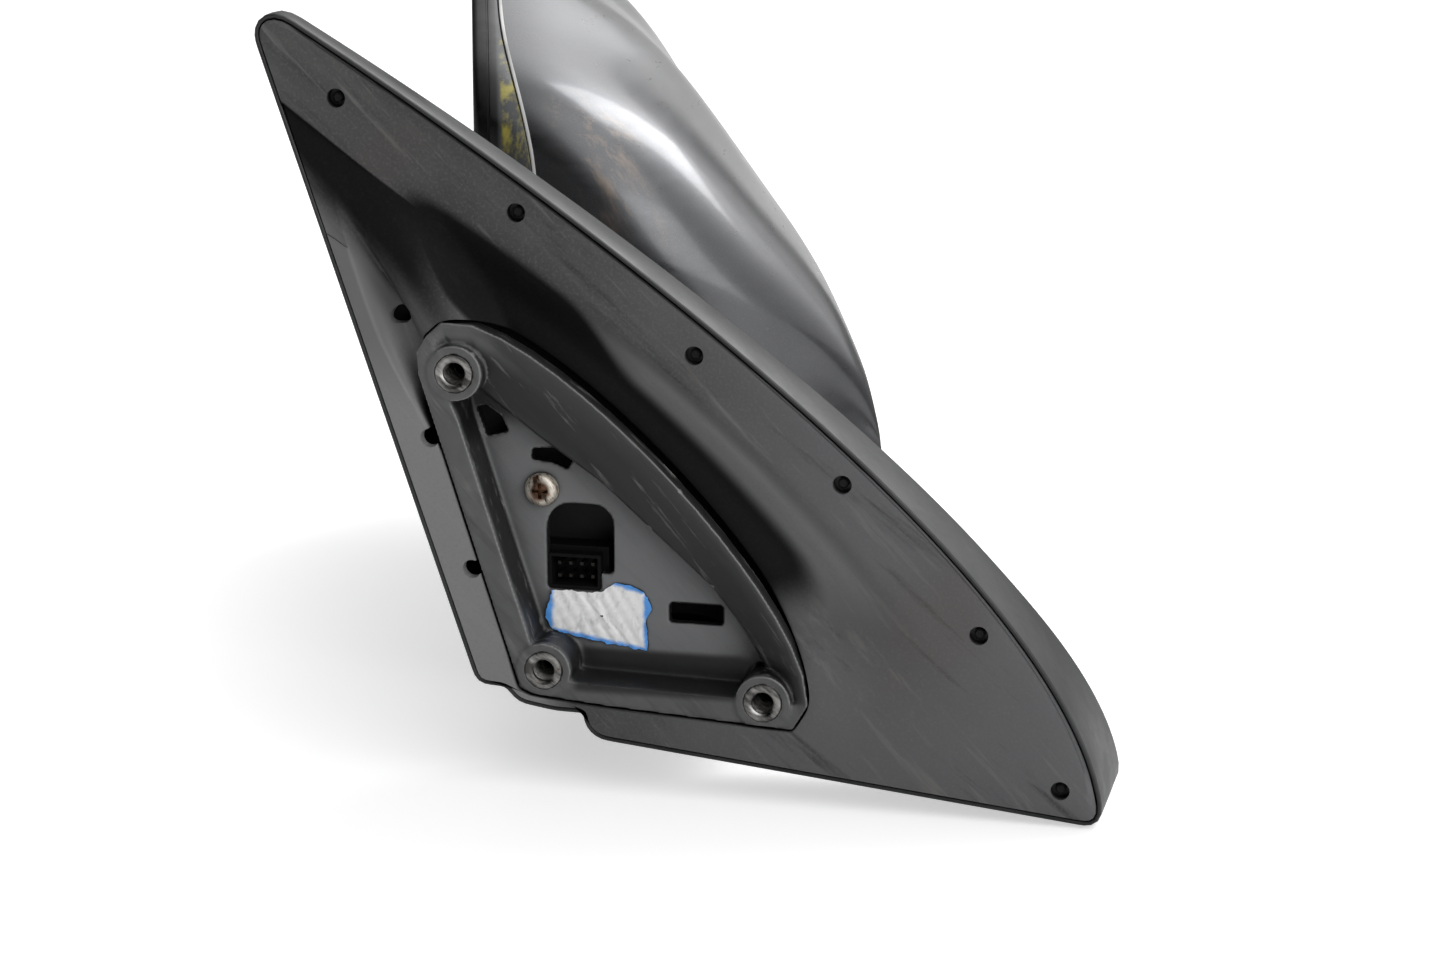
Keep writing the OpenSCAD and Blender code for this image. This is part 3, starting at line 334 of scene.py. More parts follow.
class Finish:
    """a principled material and the nodes that feed it

    Masks run from 0 to 1, and places in them are in millimetres.
    """

    def __init__(self, name, color, rough, metallic=0.0, spec=0.5):
        self.mat = bpy.data.materials.new(name)
        self.mat.use_nodes = True
        self.tree = self.mat.node_tree
        self.bsdf = self.tree.nodes["Principled BSDF"]
        self.set("Base Color", (*color, 1))
        self.set("Roughness", rough)
        self.set("Metallic", metallic)
        self.set("Specular IOR Level", spec)
        self.coords = self.node("ShaderNodeTexCoord").outputs["Object"]

    def node(self, kind, **options):
        n = self.tree.nodes.new(kind)
        for k, v in options.items():
            setattr(n, k, v)
        return n

    def link(self, value, socket):
        if hasattr(value, "is_output"):
            self.tree.links.new(value, socket)
        else:
            socket.default_value = value

    def set(self, socket, value):
        self.link(value, self.bsdf.inputs[socket])

    # numbers

    def math(self, kind, a, b=0.0):
        n = self.node("ShaderNodeMath", operation=kind)
        self.link(a, n.inputs[0])
        self.link(b, n.inputs[1])
        return n.outputs[0]

    def times(self, first, *others):
        for other in others:
            first = self.math("MULTIPLY", first, other)
        return first

    def rest_of(self, mask):
        return self.math("SUBTRACT", 1.0, mask)

    def spread(self, value, lo, hi, out_lo=0.0, out_hi=1.0, step="SMOOTHSTEP"):
        """takes lo..hi to out_lo..out_hi, and stops there"""
        n = self.node("ShaderNodeMapRange", interpolation_type=step)
        for k, v in enumerate((value, lo, hi, out_lo, out_hi)):
            self.link(v, n.inputs[k])
        return n.outputs[0]

    def between(self, mask, a, b):
        """a where the mask is 0, b where it is 1"""
        return self.spread(mask, 0, 1, a, b, "LINEAR")

    # where a point lies and how it faces

    def axis(self, k):
        n = self.node("ShaderNodeSeparateXYZ")
        self.link(self.coords, n.inputs[0])
        return n.outputs[k]

    def climb(self, k, lo, hi):
        """0 before lo and 1 past hi along an axis, in either sense"""
        return self.spread(self.axis(k), lo * MM, hi * MM)

    def beyond(self, point, normal, soft):
        """0 on one side of a line in the flange's plane, 1 on the other"""
        n = unit(np.array(normal, float))
        value = self.math("ADD", self.times(self.axis(X), n[0]), self.times(self.axis(Z), n[1]))
        at = point[0] * n[0] + point[1] * n[1]
        return self.spread(value, (at - soft) * MM, (at + soft) * MM)

    def facing(self, direction, lo, hi):
        """1 where the surface faces a direction of the part's own frame"""
        n = self.node("ShaderNodeVectorMath", operation="DOT_PRODUCT")
        self.link(self.node("ShaderNodeTexCoord").outputs["Normal"], n.inputs[0])
        n.inputs[1].default_value = direction
        return self.spread(n.outputs["Value"], lo, hi)

    def edge_wear_and_highlight(self, lo, hi):
        """1 on the outer corners of the mesh"""
        return self.spread(self.node("ShaderNodeNewGeometry").outputs["Pointiness"], lo, hi)

    def open_share(self, reach, lo, hi):
        """0 in corners and hollows, 1 where the surface lies open"""
        n = self.node("ShaderNodeAmbientOcclusion", samples=8)
        n.inputs["Distance"].default_value = reach * MM
        return self.spread(n.outputs["AO"], lo, hi)

    # patterns

    def stretched(self, scale, turn=(0, 0, 0)):
        n = self.node("ShaderNodeMapping")
        self.link(self.coords, n.inputs["Vector"])
        n.inputs["Rotation"].default_value = [math.radians(a) for a in turn]
        n.inputs["Scale"].default_value = scale
        return n.outputs["Vector"]

    def along(self, angle, length):
        """coordinates drawn out along a direction in the flange's plane, in degrees below +X"""
        n = self.node("ShaderNodeMapping", vector_type="TEXTURE")
        self.link(self.coords, n.inputs["Vector"])
        n.inputs["Rotation"].default_value = (0, math.radians(angle), 0)
        n.inputs["Scale"].default_value = (length, 1, 1)
        return n.outputs["Vector"]

    def noise(self, scale, detail, rough, vector=None, distortion=0.0):
        n = self.node("ShaderNodeTexNoise")
        self.link(self.coords if vector is None else vector, n.inputs["Vector"])
        n.inputs["Scale"].default_value = scale
        n.inputs["Detail"].default_value = detail
        n.inputs["Roughness"].default_value = rough
        n.inputs["Distortion"].default_value = distortion
        return n.outputs["Fac"]

    def cells(self, scale, feature="F1"):
        n = self.node("ShaderNodeTexVoronoi", feature=feature)
        self.link(self.coords, n.inputs["Vector"])
        n.inputs["Scale"].default_value = scale
        return n.outputs["Distance"]

    def ramp(self, value, first, last):
        """a straight ramp between two stops of (place, grey)"""
        n = self.node("ShaderNodeValToRGB")
        self.link(value, n.inputs["Fac"])
        stops = n.color_ramp.elements
        for k, (at, level) in enumerate((first, last)):
            stops[k].position = at
            stops[k].color = (level, level, level, 1)
        return n.outputs["Color"]

    def patches(self, noise, lo, hi):
        """0 where a noise is short of lo and 1 where it is past hi, in either sense"""
        value = self.noise(*noise)
        return self.ramp(value, (lo, 0.0), (hi, 1.0)) if lo < hi else self.ramp(value, (hi, 1.0), (lo, 0.0))

    # colour and relief

    def blend(self, a, b, mask):
        n = self.node("ShaderNodeMix", data_type="RGBA", blend_type="MIX")
        self.link(mask, n.inputs["Factor"])
        for key, v in (("A", a), ("B", b)):
            socket = [i for i in n.inputs if i.name == key and i.type == "RGBA"][0]
            self.link((*v, 1) if isinstance(v, tuple) else v, socket)
        return [o for o in n.outputs if o.type == "RGBA"][0]

    def over(self, tone, color, *masks):
        """a colour laid over another, by the product of the masks"""
        return self.blend(tone, color, self.times(*masks))

    def bump(self, height, strength, depth, under=None):
        n = self.node("ShaderNodeBump")
        n.inputs["Strength"].default_value = strength
        n.inputs["Distance"].default_value = depth * MM
        self.link(height, n.inputs["Height"])
        if under is not None:
            self.link(under, n.inputs["Normal"])
        self.set("Normal", n.outputs["Normal"])
        return n.outputs["Normal"]


def paint(obj, *finishes):
    obj.data.materials.clear()
    for finish in finishes:
        obj.data.materials.append(finish.mat)
    return obj


def satin_plastic(name, base, worn, rough, grain=1600, depth=0.06):
    """moulded plastic with paler patches and a fine grain"""
    f = Finish(name, base, rough)
    f.set("Base Color", f.blend(base, worn, f.patches((38, 4, 0.55), 0.42, 0.68)))
    f.set("Roughness", f.spread(f.noise(90, 4, 0.6), 0.3, 0.7, rough - 0.05, rough + 0.07))
    f.bump(f.noise(grain, 3, 0.6), 0.35, depth)
    return f


def make_rubber():
    """moulded rubber: dusty flange, painted shade in the channel and in corners, lighter rear strip, a lower
    bank painted paler as if lit, rubbed marks along the slope
    """
    f = Finish("gasket_rubber", (0.05, 0.051, 0.053), 0.5, spec=0.2)
    tone = f.blend((0.05, 0.05, 0.052), (0.078, 0.078, 0.08), f.patches((26, 5, 0.6, None, 0.4), 0.36, 0.7))
    tone = f.over(tone, (0.138, 0.139, 0.144), f.climb(X, 0, 80), 0.7)
    rub = f.noise(60, 6, 0.75, f.along(44, 7))
    tone = f.over(tone, (0.12, 0.116, 0.11), f.ramp(rub, (0.5, 0.0), (0.66, 1.0)), 0.5)
    scratches = f.patches((230, 5, 0.7, f.along(47, 14)), 0.56, 0.66)
    tone = f.over(tone, (0.19, 0.187, 0.18), scratches, 0.52)
    dark_lines = f.patches((150, 5, 0.7, f.along(40, 12)), 0.44, 0.3)
    tone = f.over(tone, (0.018, 0.018, 0.019), dark_lines, 0.62)
    brown_dirt = f.patches((17, 3, 0.5), 0.55, 0.7)
    tone = f.over(tone, (0.085, 0.062, 0.05), brown_dirt, 0.3)
    rear_strip = f.times(f.beyond((-34, 94), (-1, -0.95), 5), f.beyond((-24, 80), (-1, -0.3), 5))
    pale = f.blend((0.17, 0.168, 0.17), (0.26, 0.257, 0.26), f.climb(Z, 85, 60))
    tone = f.over(tone, pale, rear_strip, 0.85)
    # painted shade in the channel: near the tip its shallow parts are painted black too, lower down only the
    # deep ones
    high = f.climb(Z, 70, 94)
    dark_from, dark_to = f.between(high, 5.8 * MM, 0.3 * MM), f.between(high, 8.6 * MM, 2.2 * MM)
    deep = f.spread(f.axis(Y), dark_from, dark_to)
    tip = f.times(f.beyond((-40.7, 121.5), (-0.605, -0.796), 0.35), f.beyond((-18, 112), (-1, 0.2), 12))
    valley_shade = f.times(f.math("MAXIMUM", deep, tip), f.rest_of(rear_strip))
    # painted light: the channel's lower bank, which lies in shadow, is painted paler
    lit_bank = f.times(f.climb(Y, 0.3, 3), f.rest_of(high), f.climb(Z, 12, 34))
    tone = f.over(tone, (0.29, 0.29, 0.292), lit_bank, 0.72)
    tone = f.over(tone, (0.006, 0.006, 0.0066), valley_shade, 0.96)
    dust = f.patches((1300, 2, 0.6), 0.5, 0.72)
    tone = f.over(tone, (0.16, 0.157, 0.15), dust, f.between(valley_shade, 0.3, 0.02))
    # painted shade: the colour goes towards black in corners and hollows
    f.set("Base Color", f.blend((0.004, 0.004, 0.0042), tone, f.open_share(3.5, 0.4, 0.75)))
    # the painted shade in the channel also takes away most of its specular
    f.set("Specular IOR Level", f.between(valley_shade, 0.35, 0.06))
    f.set("Roughness", f.spread(rub, 0.35, 0.75, 0.46, 0.62))
    fine = f.bump(f.noise(2300, 2, 0.6), 0.3, 0.06)
    f.bump(f.noise(420, 4, 0.6), 0.22, 0.18, fine)
    return f


def make_cast():
    """coated casting: worn crest; painted shade on the slanted wall, on walls facing up or forward, on the
    band along the slope, at the tray's ends, along the lower rail and in corners; the tray floor painted
    paler as lit; pale edges, partly worn coating and partly painted highlight
    """
    f = Finish("cast_black", (0.05, 0.052, 0.053), 0.46)
    patch = f.noise(45, 5, 0.6)
    tone = f.blend((0.095, 0.097, 0.1), (0.14, 0.142, 0.146), f.ramp(patch, (0.38, 0.0), (0.68, 1.0)))
    dust = f.patches((210, 5, 0.7), 0.55, 0.75)
    tone = f.over(tone, (0.13, 0.125, 0.115), dust, 0.3)
    inside = f.climb(Y, 1.2, 3)
    # painted shade: slanted walls inside the tray that face down and to the rear are painted near black
    shaded_slant = f.facing((-0.65, 0, -0.76), 0.1, 0.26)
    tone = f.over(tone, (0.005, 0.005, 0.0054), shaded_slant, inside, 0.93)
    # painted light: the tray floor that faces out of the tray is painted paler
    tray = f.times(f.facing((0, -1, 0), 0.85, 0.97), f.climb(Y, 5, 9))
    tone = f.over(tone, (0.2, 0.203, 0.208), tray, 0.7)
    # painted shade: walls inside the tray that face up or forward are painted near black
    shaded_walls = f.math("MAXIMUM", f.facing((0, 0, 1), 0.3, 0.7), f.facing((1, 0, 0), 0.35, 0.75))
    tone = f.over(tone, (0.006, 0.006, 0.0065), shaded_walls, inside, 0.94)
    # painted shade: the band along the slope side is painted darker
    slope = f.times(f.beyond((22, 42), (0.75, 0.66), 2.5), f.climb(Y, 9.5, 8))
    tone = f.over(tone, (0.024, 0.024, 0.0245), slope, 0.85)
    # painted shade at the tray's ends, along the bottom and below the top boss
    shaded_tray_ends = f.math("MAXIMUM", f.climb(Z, 4.2, 1.4), f.climb(Z, 57, 63))
    tone = f.over(tone, (0.008, 0.008, 0.0085), shaded_tray_ends, f.climb(Y, 7, 10.5), 0.9)
    # painted shade: the colour goes towards black in corners and hollows
    tone = f.blend((0.006, 0.006, 0.0064), tone, f.open_share(12, 0.38, 0.8))
    streaks = f.patches((210, 5, 0.7, f.along(46, 9)), 0.48, 0.34)
    tone = f.over(tone, (0.022, 0.022, 0.023), streaks, f.between(tray, 0.55, 0.12))
    scrapes = f.patches((330, 5, 0.7, f.along(52, 12)), 0.58, 0.66)
    tone = f.over(tone, (0.26, 0.255, 0.245), scrapes, f.between(tray, 0.4, 0.05))
    crest = f.times(f.climb(Y, 1.6, 0.7), f.ramp(f.noise(300, 4, 0.6), (0.3, 0.4), (0.6, 1.0)))
    tone = f.over(tone, (0.085, 0.085, 0.084), crest, f.between(slope, 0.6, 0.15))
    # pale convex edges: partly worn coating, partly painted highlight along the ridges
    tone = f.over(tone, (0.3, 0.298, 0.29), f.edge_wear_and_highlight(0.52, 0.56), 0.6)
    # painted shade: the rail between the two lower fixings is painted near black
    rail = f.times(f.climb(Z, -5.8, -3.8), f.climb(Z, 4, 2), f.climb(X, 6, 9), f.climb(X, 49, 46))
    f.set("Base Color", f.over(tone, (0.01, 0.01, 0.0105), rail, 0.88))
    f.set("Roughness", f.spread(patch, 0.3, 0.7, 0.4, 0.56))
    fine = f.bump(f.noise(900, 3, 0.6), 0.35, 0.1)
    f.bump(f.cells(330, "SMOOTH_F1"), 0.15, 0.3, fine)
    return f


def make_paint():
    """dark metallic paint under a clear coat"""
    f = Finish("cap_paint", (0.13, 0.132, 0.138), 0.3, 0.85)
    f.set("Coat Weight", 0.5)
    f.set("Coat Roughness", 0.12)
    f.set("Coat IOR", 1.5)
    flakes = f.ramp(f.cells(2600), (0.0, 1.0), (0.35, 0.0))
    tone = f.blend((0.115, 0.117, 0.123), (0.17, 0.172, 0.178), flakes)
    # painted reflection: brown streaks on the side that faces the door stand in for a brown reflection
    brown_reflection_marks = f.patches((230, 6, 0.75, f.along(60, 10)), 0.5, 0.66)
    brown_reflection_zone = f.times(f.beyond((-9, 112), (0.9, 0.4), 3), f.beyond((12, 104), (-0.9, -0.4), 4),
                      f.climb(Y, 80, 72), f.climb(Z, 88, 98))
    f.set("Base Color", f.over(tone, (0.3, 0.235, 0.185), brown_reflection_marks, brown_reflection_zone, 0.5))
    f.set("Coat Normal", f.bump(f.noise(330, 2, 0.4), 0.02, 0.1))
    # sheen on the outboard part of the shell: partly fine dust, partly a painted reflection of the pale room;
    # the plain number is what an export keeps
    f.set("Sheen Weight", 0.3)
    f.set("Sheen Weight", f.times(f.climb(Y, 98, 118), f.climb(Z, 70, 100)))
    f.set("Sheen Roughness", 0.35)
    wiped = f.noise(60, 5, 0.7, f.stretched((1, 1, 5), (20, 35, 0)))
    f.set("Roughness", f.spread(wiped, 0.3, 0.75, 0.27, 0.36))
    return f


def make_bezel():
    """satin black frame: the rear strip painted near black as shade, a paler outer band with its old polish
    smear
    """
    f = Finish("frame_black", (0.022, 0.022, 0.023), 0.42)
    forward = f.math("ADD", f.times(f.math("SUBTRACT", f.axis(X), PX * MM), math.cos(YAW)),
                     f.times(f.math("SUBTRACT", f.axis(Y), PY * MM), math.sin(YAW)))
    # painted shade: behind the outer band the frame is painted near black
    band = f.spread(forward, -48.2 * MM, -47.2 * MM)
    tone = f.blend((0.006, 0.006, 0.0065), (0.05, 0.052, 0.055), band)
    mottle = f.patches((150, 5, 0.7, f.stretched((1, 1, 0.45))), 0.44, 0.6)
    smeared = f.times(f.climb(Z, 108, 118), f.climb(Z, 158, 150), f.spread(forward, -47.4 * MM, -46.4 * MM),
                      f.climb(Y, 105, 90))
    f.set("Base Color", f.over(tone, (0.32, 0.28, 0.06), mottle, smeared))
    f.set("Roughness", f.spread(f.noise(160, 4, 0.6), 0.3, 0.7, 0.36, 0.5))
    f.bump(f.noise(1500, 3, 0.6), 0.25, 0.06)
    return f


def metal(name, color, rough, stretch=(1, 1, 12), rust=0.0, dull=0.0):
    """brushed metal, with as much rust and grime as asked"""
    f = Finish(name, color, rough, 1.0)
    brushed = f.noise(260, 4, 0.65, f.stretched(stretch))
    f.set("Roughness", f.spread(brushed, 0.3, 0.7, rough - 0.08, rough + 0.1))
    tone = f.blend(color, tuple(c * 0.72 for c in color), f.patches((120, 4, 0.6), 0.4, 0.66))
    if rust:
        spots = f.patches((420, 5, 0.7), 0.62 - 0.3 * rust, 0.75 - 0.3 * rust)
        tone = f.blend(tone, (0.17, 0.062, 0.028), spots)
        f.set("Metallic", f.spread(spots, 0.2, 0.8, 1.0, 0.1))
    if dull:
        grime = f.patches((330, 4, 0.7, f.along(35, 5)), 0.4, 0.58)
        tone = f.over(tone, (0.03, 0.029, 0.028), grime, dull)
    f.set("Base Color", tone)
    f.bump(brushed, 0.12, 0.05)
    return f


def make_rusty():
    """screw head: bright scraped rim round a dark rusted middle"""
    f = Finish("rusty_screw", (0.3, 0.25, 0.2), 0.42, 0.6)
    across, up = f.math("SUBTRACT", f.axis(X), SCREW_X * MM), f.math("SUBTRACT", f.axis(Z), SCREW_Z * MM)
    radius = f.math("SQRT", f.math("ADD", f.times(across, across), f.times(up, up)))
    scraped = f.patches((520, 4, 0.7, f.along(62, 5)), 0.4, 0.54)
    rust = f.blend((0.03, 0.018, 0.012), (0.16, 0.07, 0.035), f.patches((620, 4, 0.7), 0.4, 0.6))
    f.set("Base Color", f.over(rust, (0.75, 0.69, 0.6), f.spread(radius, 1.8 * MM, 3 * MM), scraped))
    f.bump(f.noise(700, 4, 0.7), 0.3, 0.1)
    return f


def make_acetal():
    """natural acetal, a little yellowed and dirty"""
    f = Finish("natural_acetal", (0.72, 0.70, 0.62), 0.35)
    f.set("Subsurface Weight", 0.15)
    f.set("Subsurface Scale", 0.002)
    grime = f.patches((160, 4, 0.6), 0.5, 0.75)
    f.set("Base Color", f.over((0.74, 0.72, 0.64), (0.55, 0.5, 0.4), grime, 0.5))
    f.bump(f.noise(1100, 2, 0.5), 0.15, 0.05)
    return f


def make_glass():
    """silvered glass with faint wipe marks"""
    f = Finish("convex_mirror", (0.8, 0.84, 0.87), 0.015, 1.0)
    f.set("Coat Weight", 0.6)
    f.set("Coat Roughness", 0.01)
    wiped = f.noise(34, 5, 0.7, f.stretched((1, 5, 1), (25, 0, 0)))
    f.set("Roughness", f.spread(wiped, 0.45, 0.8, 0.012, 0.05))
    f.set("Base Color", f.blend((0.8, 0.84, 0.87), (0.76, 0.8, 0.84), wiped))
    f.bump(f.noise(20, 1, 0.3), 0.02, 0.05)
    return f


def make_label():
    """creased white paper with what is left of a blue border"""
    f = Finish("torn_label", (0.8, 0.8, 0.8), 0.5)
    fray = f.times(f.math("SUBTRACT", f.noise(420, 4, 0.6), 0.5), 1.6 * MM)
    across = f.math("ADD", f.axis(X), fray)
    blue = f.math("MAXIMUM", f.spread(across, 0.6 * MM, -0.8 * MM), f.spread(across, 22.2 * MM, 23.4 * MM))
    for slope, start, end in ((0.17, 8.5, 7.3), (0.25, 22.8, 24.0)):
        up = f.math("ADD", f.axis(Z), f.math("ADD", f.times(f.axis(X), slope), fray))
        blue = f.math("MAXIMUM", blue, f.spread(up, start * MM, end * MM))
    dirt = f.patches((260, 5, 0.7, f.stretched((2, 1, 1), (0, 40, 0))), 0.52, 0.7)
    white = f.over((0.97, 0.97, 0.97), (0.42, 0.42, 0.44), dirt, 0.5)
    f.set("Base Color", f.blend(white, (0.1, 0.36, 0.88), blue))
    f.bump(f.noise(600, 3, 0.6), 0.3, 0.1)
    return f


rubber = make_rubber()
cast = make_cast()
paintwork = make_paint()
bezel_black = make_bezel()
base_black = satin_plastic("base_black", (0.018, 0.0185, 0.0195), (0.034, 0.0345, 0.036), 0.42)
# painted shade: a near-black copy of the cover's plastic, for its inside and for the pegs
shade_black = satin_plastic("cover_inside", (0.004, 0.004, 0.0042), (0.006, 0.006, 0.0063), 0.8)
housing_black = satin_plastic("housing_grain", (0.03, 0.03, 0.032), (0.042, 0.042, 0.045), 0.5, 900, 0.16)
carrier_black = satin_plastic("carrier_black", (0.035, 0.035, 0.037), (0.055, 0.055, 0.057), 0.55, 700, 0.1)
# black plastic, painted darker still and with little specular as the shade in the socket
connector_black_and_shade = satin_plastic("connector_black_and_shade", (0.004, 0.004, 0.004), (0.006, 0.006, 0.006), 0.6)
connector_black_and_shade.set("Specular IOR Level", 0.12)
actuator_black = satin_plastic("actuator_black", (0.045, 0.045, 0.048), (0.065, 0.065, 0.068), 0.5)
film = satin_plastic("heater_film", (0.2, 0.17, 0.13), (0.3, 0.26, 0.2), 0.6)
plated = metal("plated_steel", (0.5, 0.49, 0.47), 0.3, (1, 8, 1))
fixing_steel = metal("weathered_insert", (0.55, 0.54, 0.52), 0.4, rust=0.1, dull=0.85)
zinc = metal("zinc_steel", (0.5, 0.5, 0.52), 0.38, (1, 1, 6))
spring_dark = metal("oiled_spring", (0.24, 0.24, 0.26), 0.3)
drawn = metal("drawn_can", (0.6, 0.6, 0.62), 0.25, (1, 1, 14))
# painted shade: the connector's pins are painted dark as they lie in shade
pins_in_shade = metal("pins_painted_dark", (0.05, 0.048, 0.044), 0.55)
rusty = make_rusty()
# painted highlight: a pale material for the cap's rim
rim_highlight = satin_plastic("rim_highlight", (0.72, 0.72, 0.71), (0.4, 0.4, 0.39), 0.4)
acetal = make_acetal()
silvered = make_glass()
label_mat = make_label()

# ---------- sail outline and pocket ----------

SIDE = 120                                  # points on each of an outline's three sides
HEEL, TIP, TOE = (-16, -3.2), (-71.4, 165), (136, -27)
SLOPE = [(-60, 156), (3, 117.7), (129.2, 30.5), TOE]
POCKET_TOP, POCKET_HEEL, POCKET_TOE = (-24.5, 86), (-6.5, -5.2), (62, -11.5)
PEG_HOLES = [(-48.6, 138.9), (-5, 113.1), (37.9, 80.6), (73.6, 51.1), (106.7, 16), (126.9, -21.4),
             (-17.5, 24.9), (-27.4, 57.2), (-36.2, 85.6)]
PEGS = 6                                    # the rear holes are empty
CHANNEL = 9                                 # greatest depth of the pressed channel


def three_sides(slope, lower, rear, times=0):
    """a closed line of three sides with SIDE points each, softened so many times"""
    return soften(np.vstack([spaced(p, SIDE) for p in (slope, lower, rear)]), times)


tip_arc = corner(HEEL, TIP, SLOPE[0], 4, 12)
sail = three_sides(
    np.vstack([tip_arc[6:], bezier(SLOPE, 90)]),
    [TOE, (134.4, -28.8), (14, -15.5), (11.4, -13), (11, -9), (3, -8.9), (-6, -7.4), (-9, -3.6), HEEL],
    np.vstack([[HEEL], tip_arc[:7]]), 2)
pocket = three_sides(
    np.vstack([bezier([POCKET_TOP, (-3.4, 92.4), (67.4, 22), (66, -5)], 60), [POCKET_TOE]]),
    [POCKET_TOE, (16, -8.6), (3, -7.4), (-3.5, -6.6), POCKET_HEEL],
    [POCKET_HEEL, (-31, 73.5), (-31, 80), POCKET_TOP], 3)
count = len(sail)
station = np.arange(count) / SIDE           # 0 to 1 on the slope, to 2 below, to 3 at the rear


def channel(t):
    """depth of the pressed channel, t from the edge to the pocket"""
    s = station
    slope = smooth(s / 0.12) * smooth((0.98 - s) / 0.3)
    rear = smooth((s - 2.62) / 0.1) * smooth((2.97 - s) / 0.08)
    side = np.where(s < 1, slope, np.where(s < 2, 0, rear))
    groove = np.where(s > 2, smooth((s - 2.7) / 0.06) * smooth((2.9 - s) / 0.06), 0)
    groove = groove * smooth((t - 0.34) / 0.22) * (1 - t) * 0.12
    return CHANNEL * np.maximum(side * smooth((t - 0.36) / 0.5), groove)


def gasket_loop(t, lift, out=0.0):
    """a loop of the gasket, t from the edge to the pocket, lift behind its face"""
    p = mix(sail, pocket, t)
    if out:
        p = grown(p, out)
    return lifted(p, channel(t) + lift)


stops = np.r_[0.014, 0.02, 0.034, 0.12, 0.2, 0.28, 0.34, np.linspace(0.37, 0.95, 26), 0.985]
seam = 0.9 * smooth(station / 0.04) * smooth((1 - station) / 0.04)     # undercut along the slope
front = [gasket_loop(t, seam * (0.9 if t < 0.017 else 0.12 if t < 0.03 else 0)) for t in stops]
back = [gasket_loop(t, GASKET) for t in stops[::-1]]
outer = [gasket_loop(0, GASKET - 0.4), gasket_loop(0, 0.5 + seam), gasket_loop(0, 0.15 + seam, -0.12)]
inner = [gasket_loop(1, 0.15, 0.12), gasket_loop(1, 0.5), gasket_loop(1, GASKET - 0.4)]
gasket = loft("gasket_skin", outer + front + inner + back, 40, ring=True)
holes = [lathe("hole", [(2.3, -1), (2.3, 13)], (x, 0, z), (0, 1, 0), 32) for x, z in PEG_HOLES]
# the slanted recess under the tip, as corners of [x, z, depth]
recess = [(-62, 137.4, 1.1), (-29, 112.3, 0.02), (-22, 100, 0.02), (-32, 93, 0.02), (-50, 105, 0.35),
          (-62, 112, 0.5)]
wedge = [(x, -1.5, z) for x, z, _ in recess] + [(x, y, z) for x, z, y in recess]
ends = [tuple(range(len(recess))), tuple(range(len(recess), len(wedge)))]
carve(gasket, holes + [piece("recess", wedge, loop_faces(2, len(recess)) + ends)], 40)
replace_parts(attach(paint(gasket, rubber), "base"), "base_gasket")

# ---------- sail cover ----------

# the skirt's depth by station
SKIRT = [(0, 8.5), (0.5, 16.15), (0.8, 23.075), (0.93, 31.025), (1, 35), (1.3, 28), (2, 20), (2.6, 16),
         (3, 8.5)]
ROOT_Y, NECK_Y = 25, 30                     # where the arm starts, and where it has its full section


def arm_loop(x0, x1, low, high, r):
    """the arm's rounded section, its points shared out as on the sail's three sides"""
    c = rounded([(x0, high, r), (x1, high, r), (x1, low, r), (x0, low, r)], 12)
    return three_sides(c[6:33], c[32:46], np.vstack([c[45:], c[:7]]))


skirt = soften(np.interp(station, *zip(*SKIRT)), 14)
flare = np.interp(station, [0, 0.5, 1, 1.3, 3], [0, 0.5, 1, 0, 0])


def skirt_edge(inset, share):
    """the sail's outline where the skirt ends, flared towards the front by a share"""
    return grown(sail, 1.4 - inset) + (grown(sail, 1) - sail) * (flare * share)[:, None]


def cover_loops(d, dome):
    """from the skirt's edge over the sail and along the arm to its round end, d inside the outer face"""
    edge = skirt_edge(d, 1)
    half = ARM_W / 2 - d
    root = arm_loop(PX - ARM_W / 2 + 2 + d, PX + half + 4, ARM_LOW + d, ARM_TOP + 13 - d, 8)
    neck = arm_loop(PX - half, PX + half, ARM_LOW + d, ARM_TOP - d, 5)
    deep = skirt - d
    shoulder = mix(edge, root, 0.06)
    loops = [lifted(edge, np.maximum(5.4, deep - 2.6)),
             lifted(mix(edge, root, 0.014), np.maximum(5.5, deep - 0.8))]
    for t in (0, 0.33, 0.66, 1):
        loops.append(lifted(mix(shoulder, root, t), mix(deep, ROOT_Y - d, t)))
    loops.append(lifted(mix(root, neck, 0.7), ROOT_Y + 1.5 - d))
    loops.append(lifted(neck, NECK_Y))
    for k in dome:
        w = half * math.sqrt(1 - k * k)
        loops.append(lifted(arm_loop(PX - w, PX + w, ARM_LOW + d, ARM_TOP - d, min(5, w * 0.6)),
                            PY + half * k))
    return loops


dome = list(np.sin(np.linspace(0, np.pi / 2 * 0.985, 12)))
outside = cover_loops(0, dome)
outside = dense(outside[:9], [3, 3, 5, 5, 5, 5, 4, 5]) + outside[9:]
lip_out, lip_in = skirt_edge(0, 0), grown(sail, 0.35)
lip = [lifted(lip_out, 1.2), lifted(grown(lip_out, -0.12), 0.6), lifted(mix(lip_out, lip_in, 0.35), 0.4),
       lifted(mix(lip_out, lip_in, 0.8), 0.42), lifted(lip_in, 0.6), lifted(lip_in, 3.1)]
flange = [gasket_loop(0.3, 3.1), gasket_loop(0.3, 5.1), gasket_loop(0.08, 5.2)]
cover = loft("sail_cover", outside[::-1] + lip + flange + cover_loops(COVER_WALL, dome[::2]), 40)
paint(cover, base_black, shade_black)
# painted shade: the inside faces take the near-black copy of the plastic
hollow_from = (len(outside) + len(lip) + len(flange) - 2) * count
for face in cover.data.polygons:
    face.material_index = int(min(face.vertices) >= hollow_from)
carve(cover, [pivot_hole(15.2, 2, 12)], 40)
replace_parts(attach(cover, "base"), "base_cover")
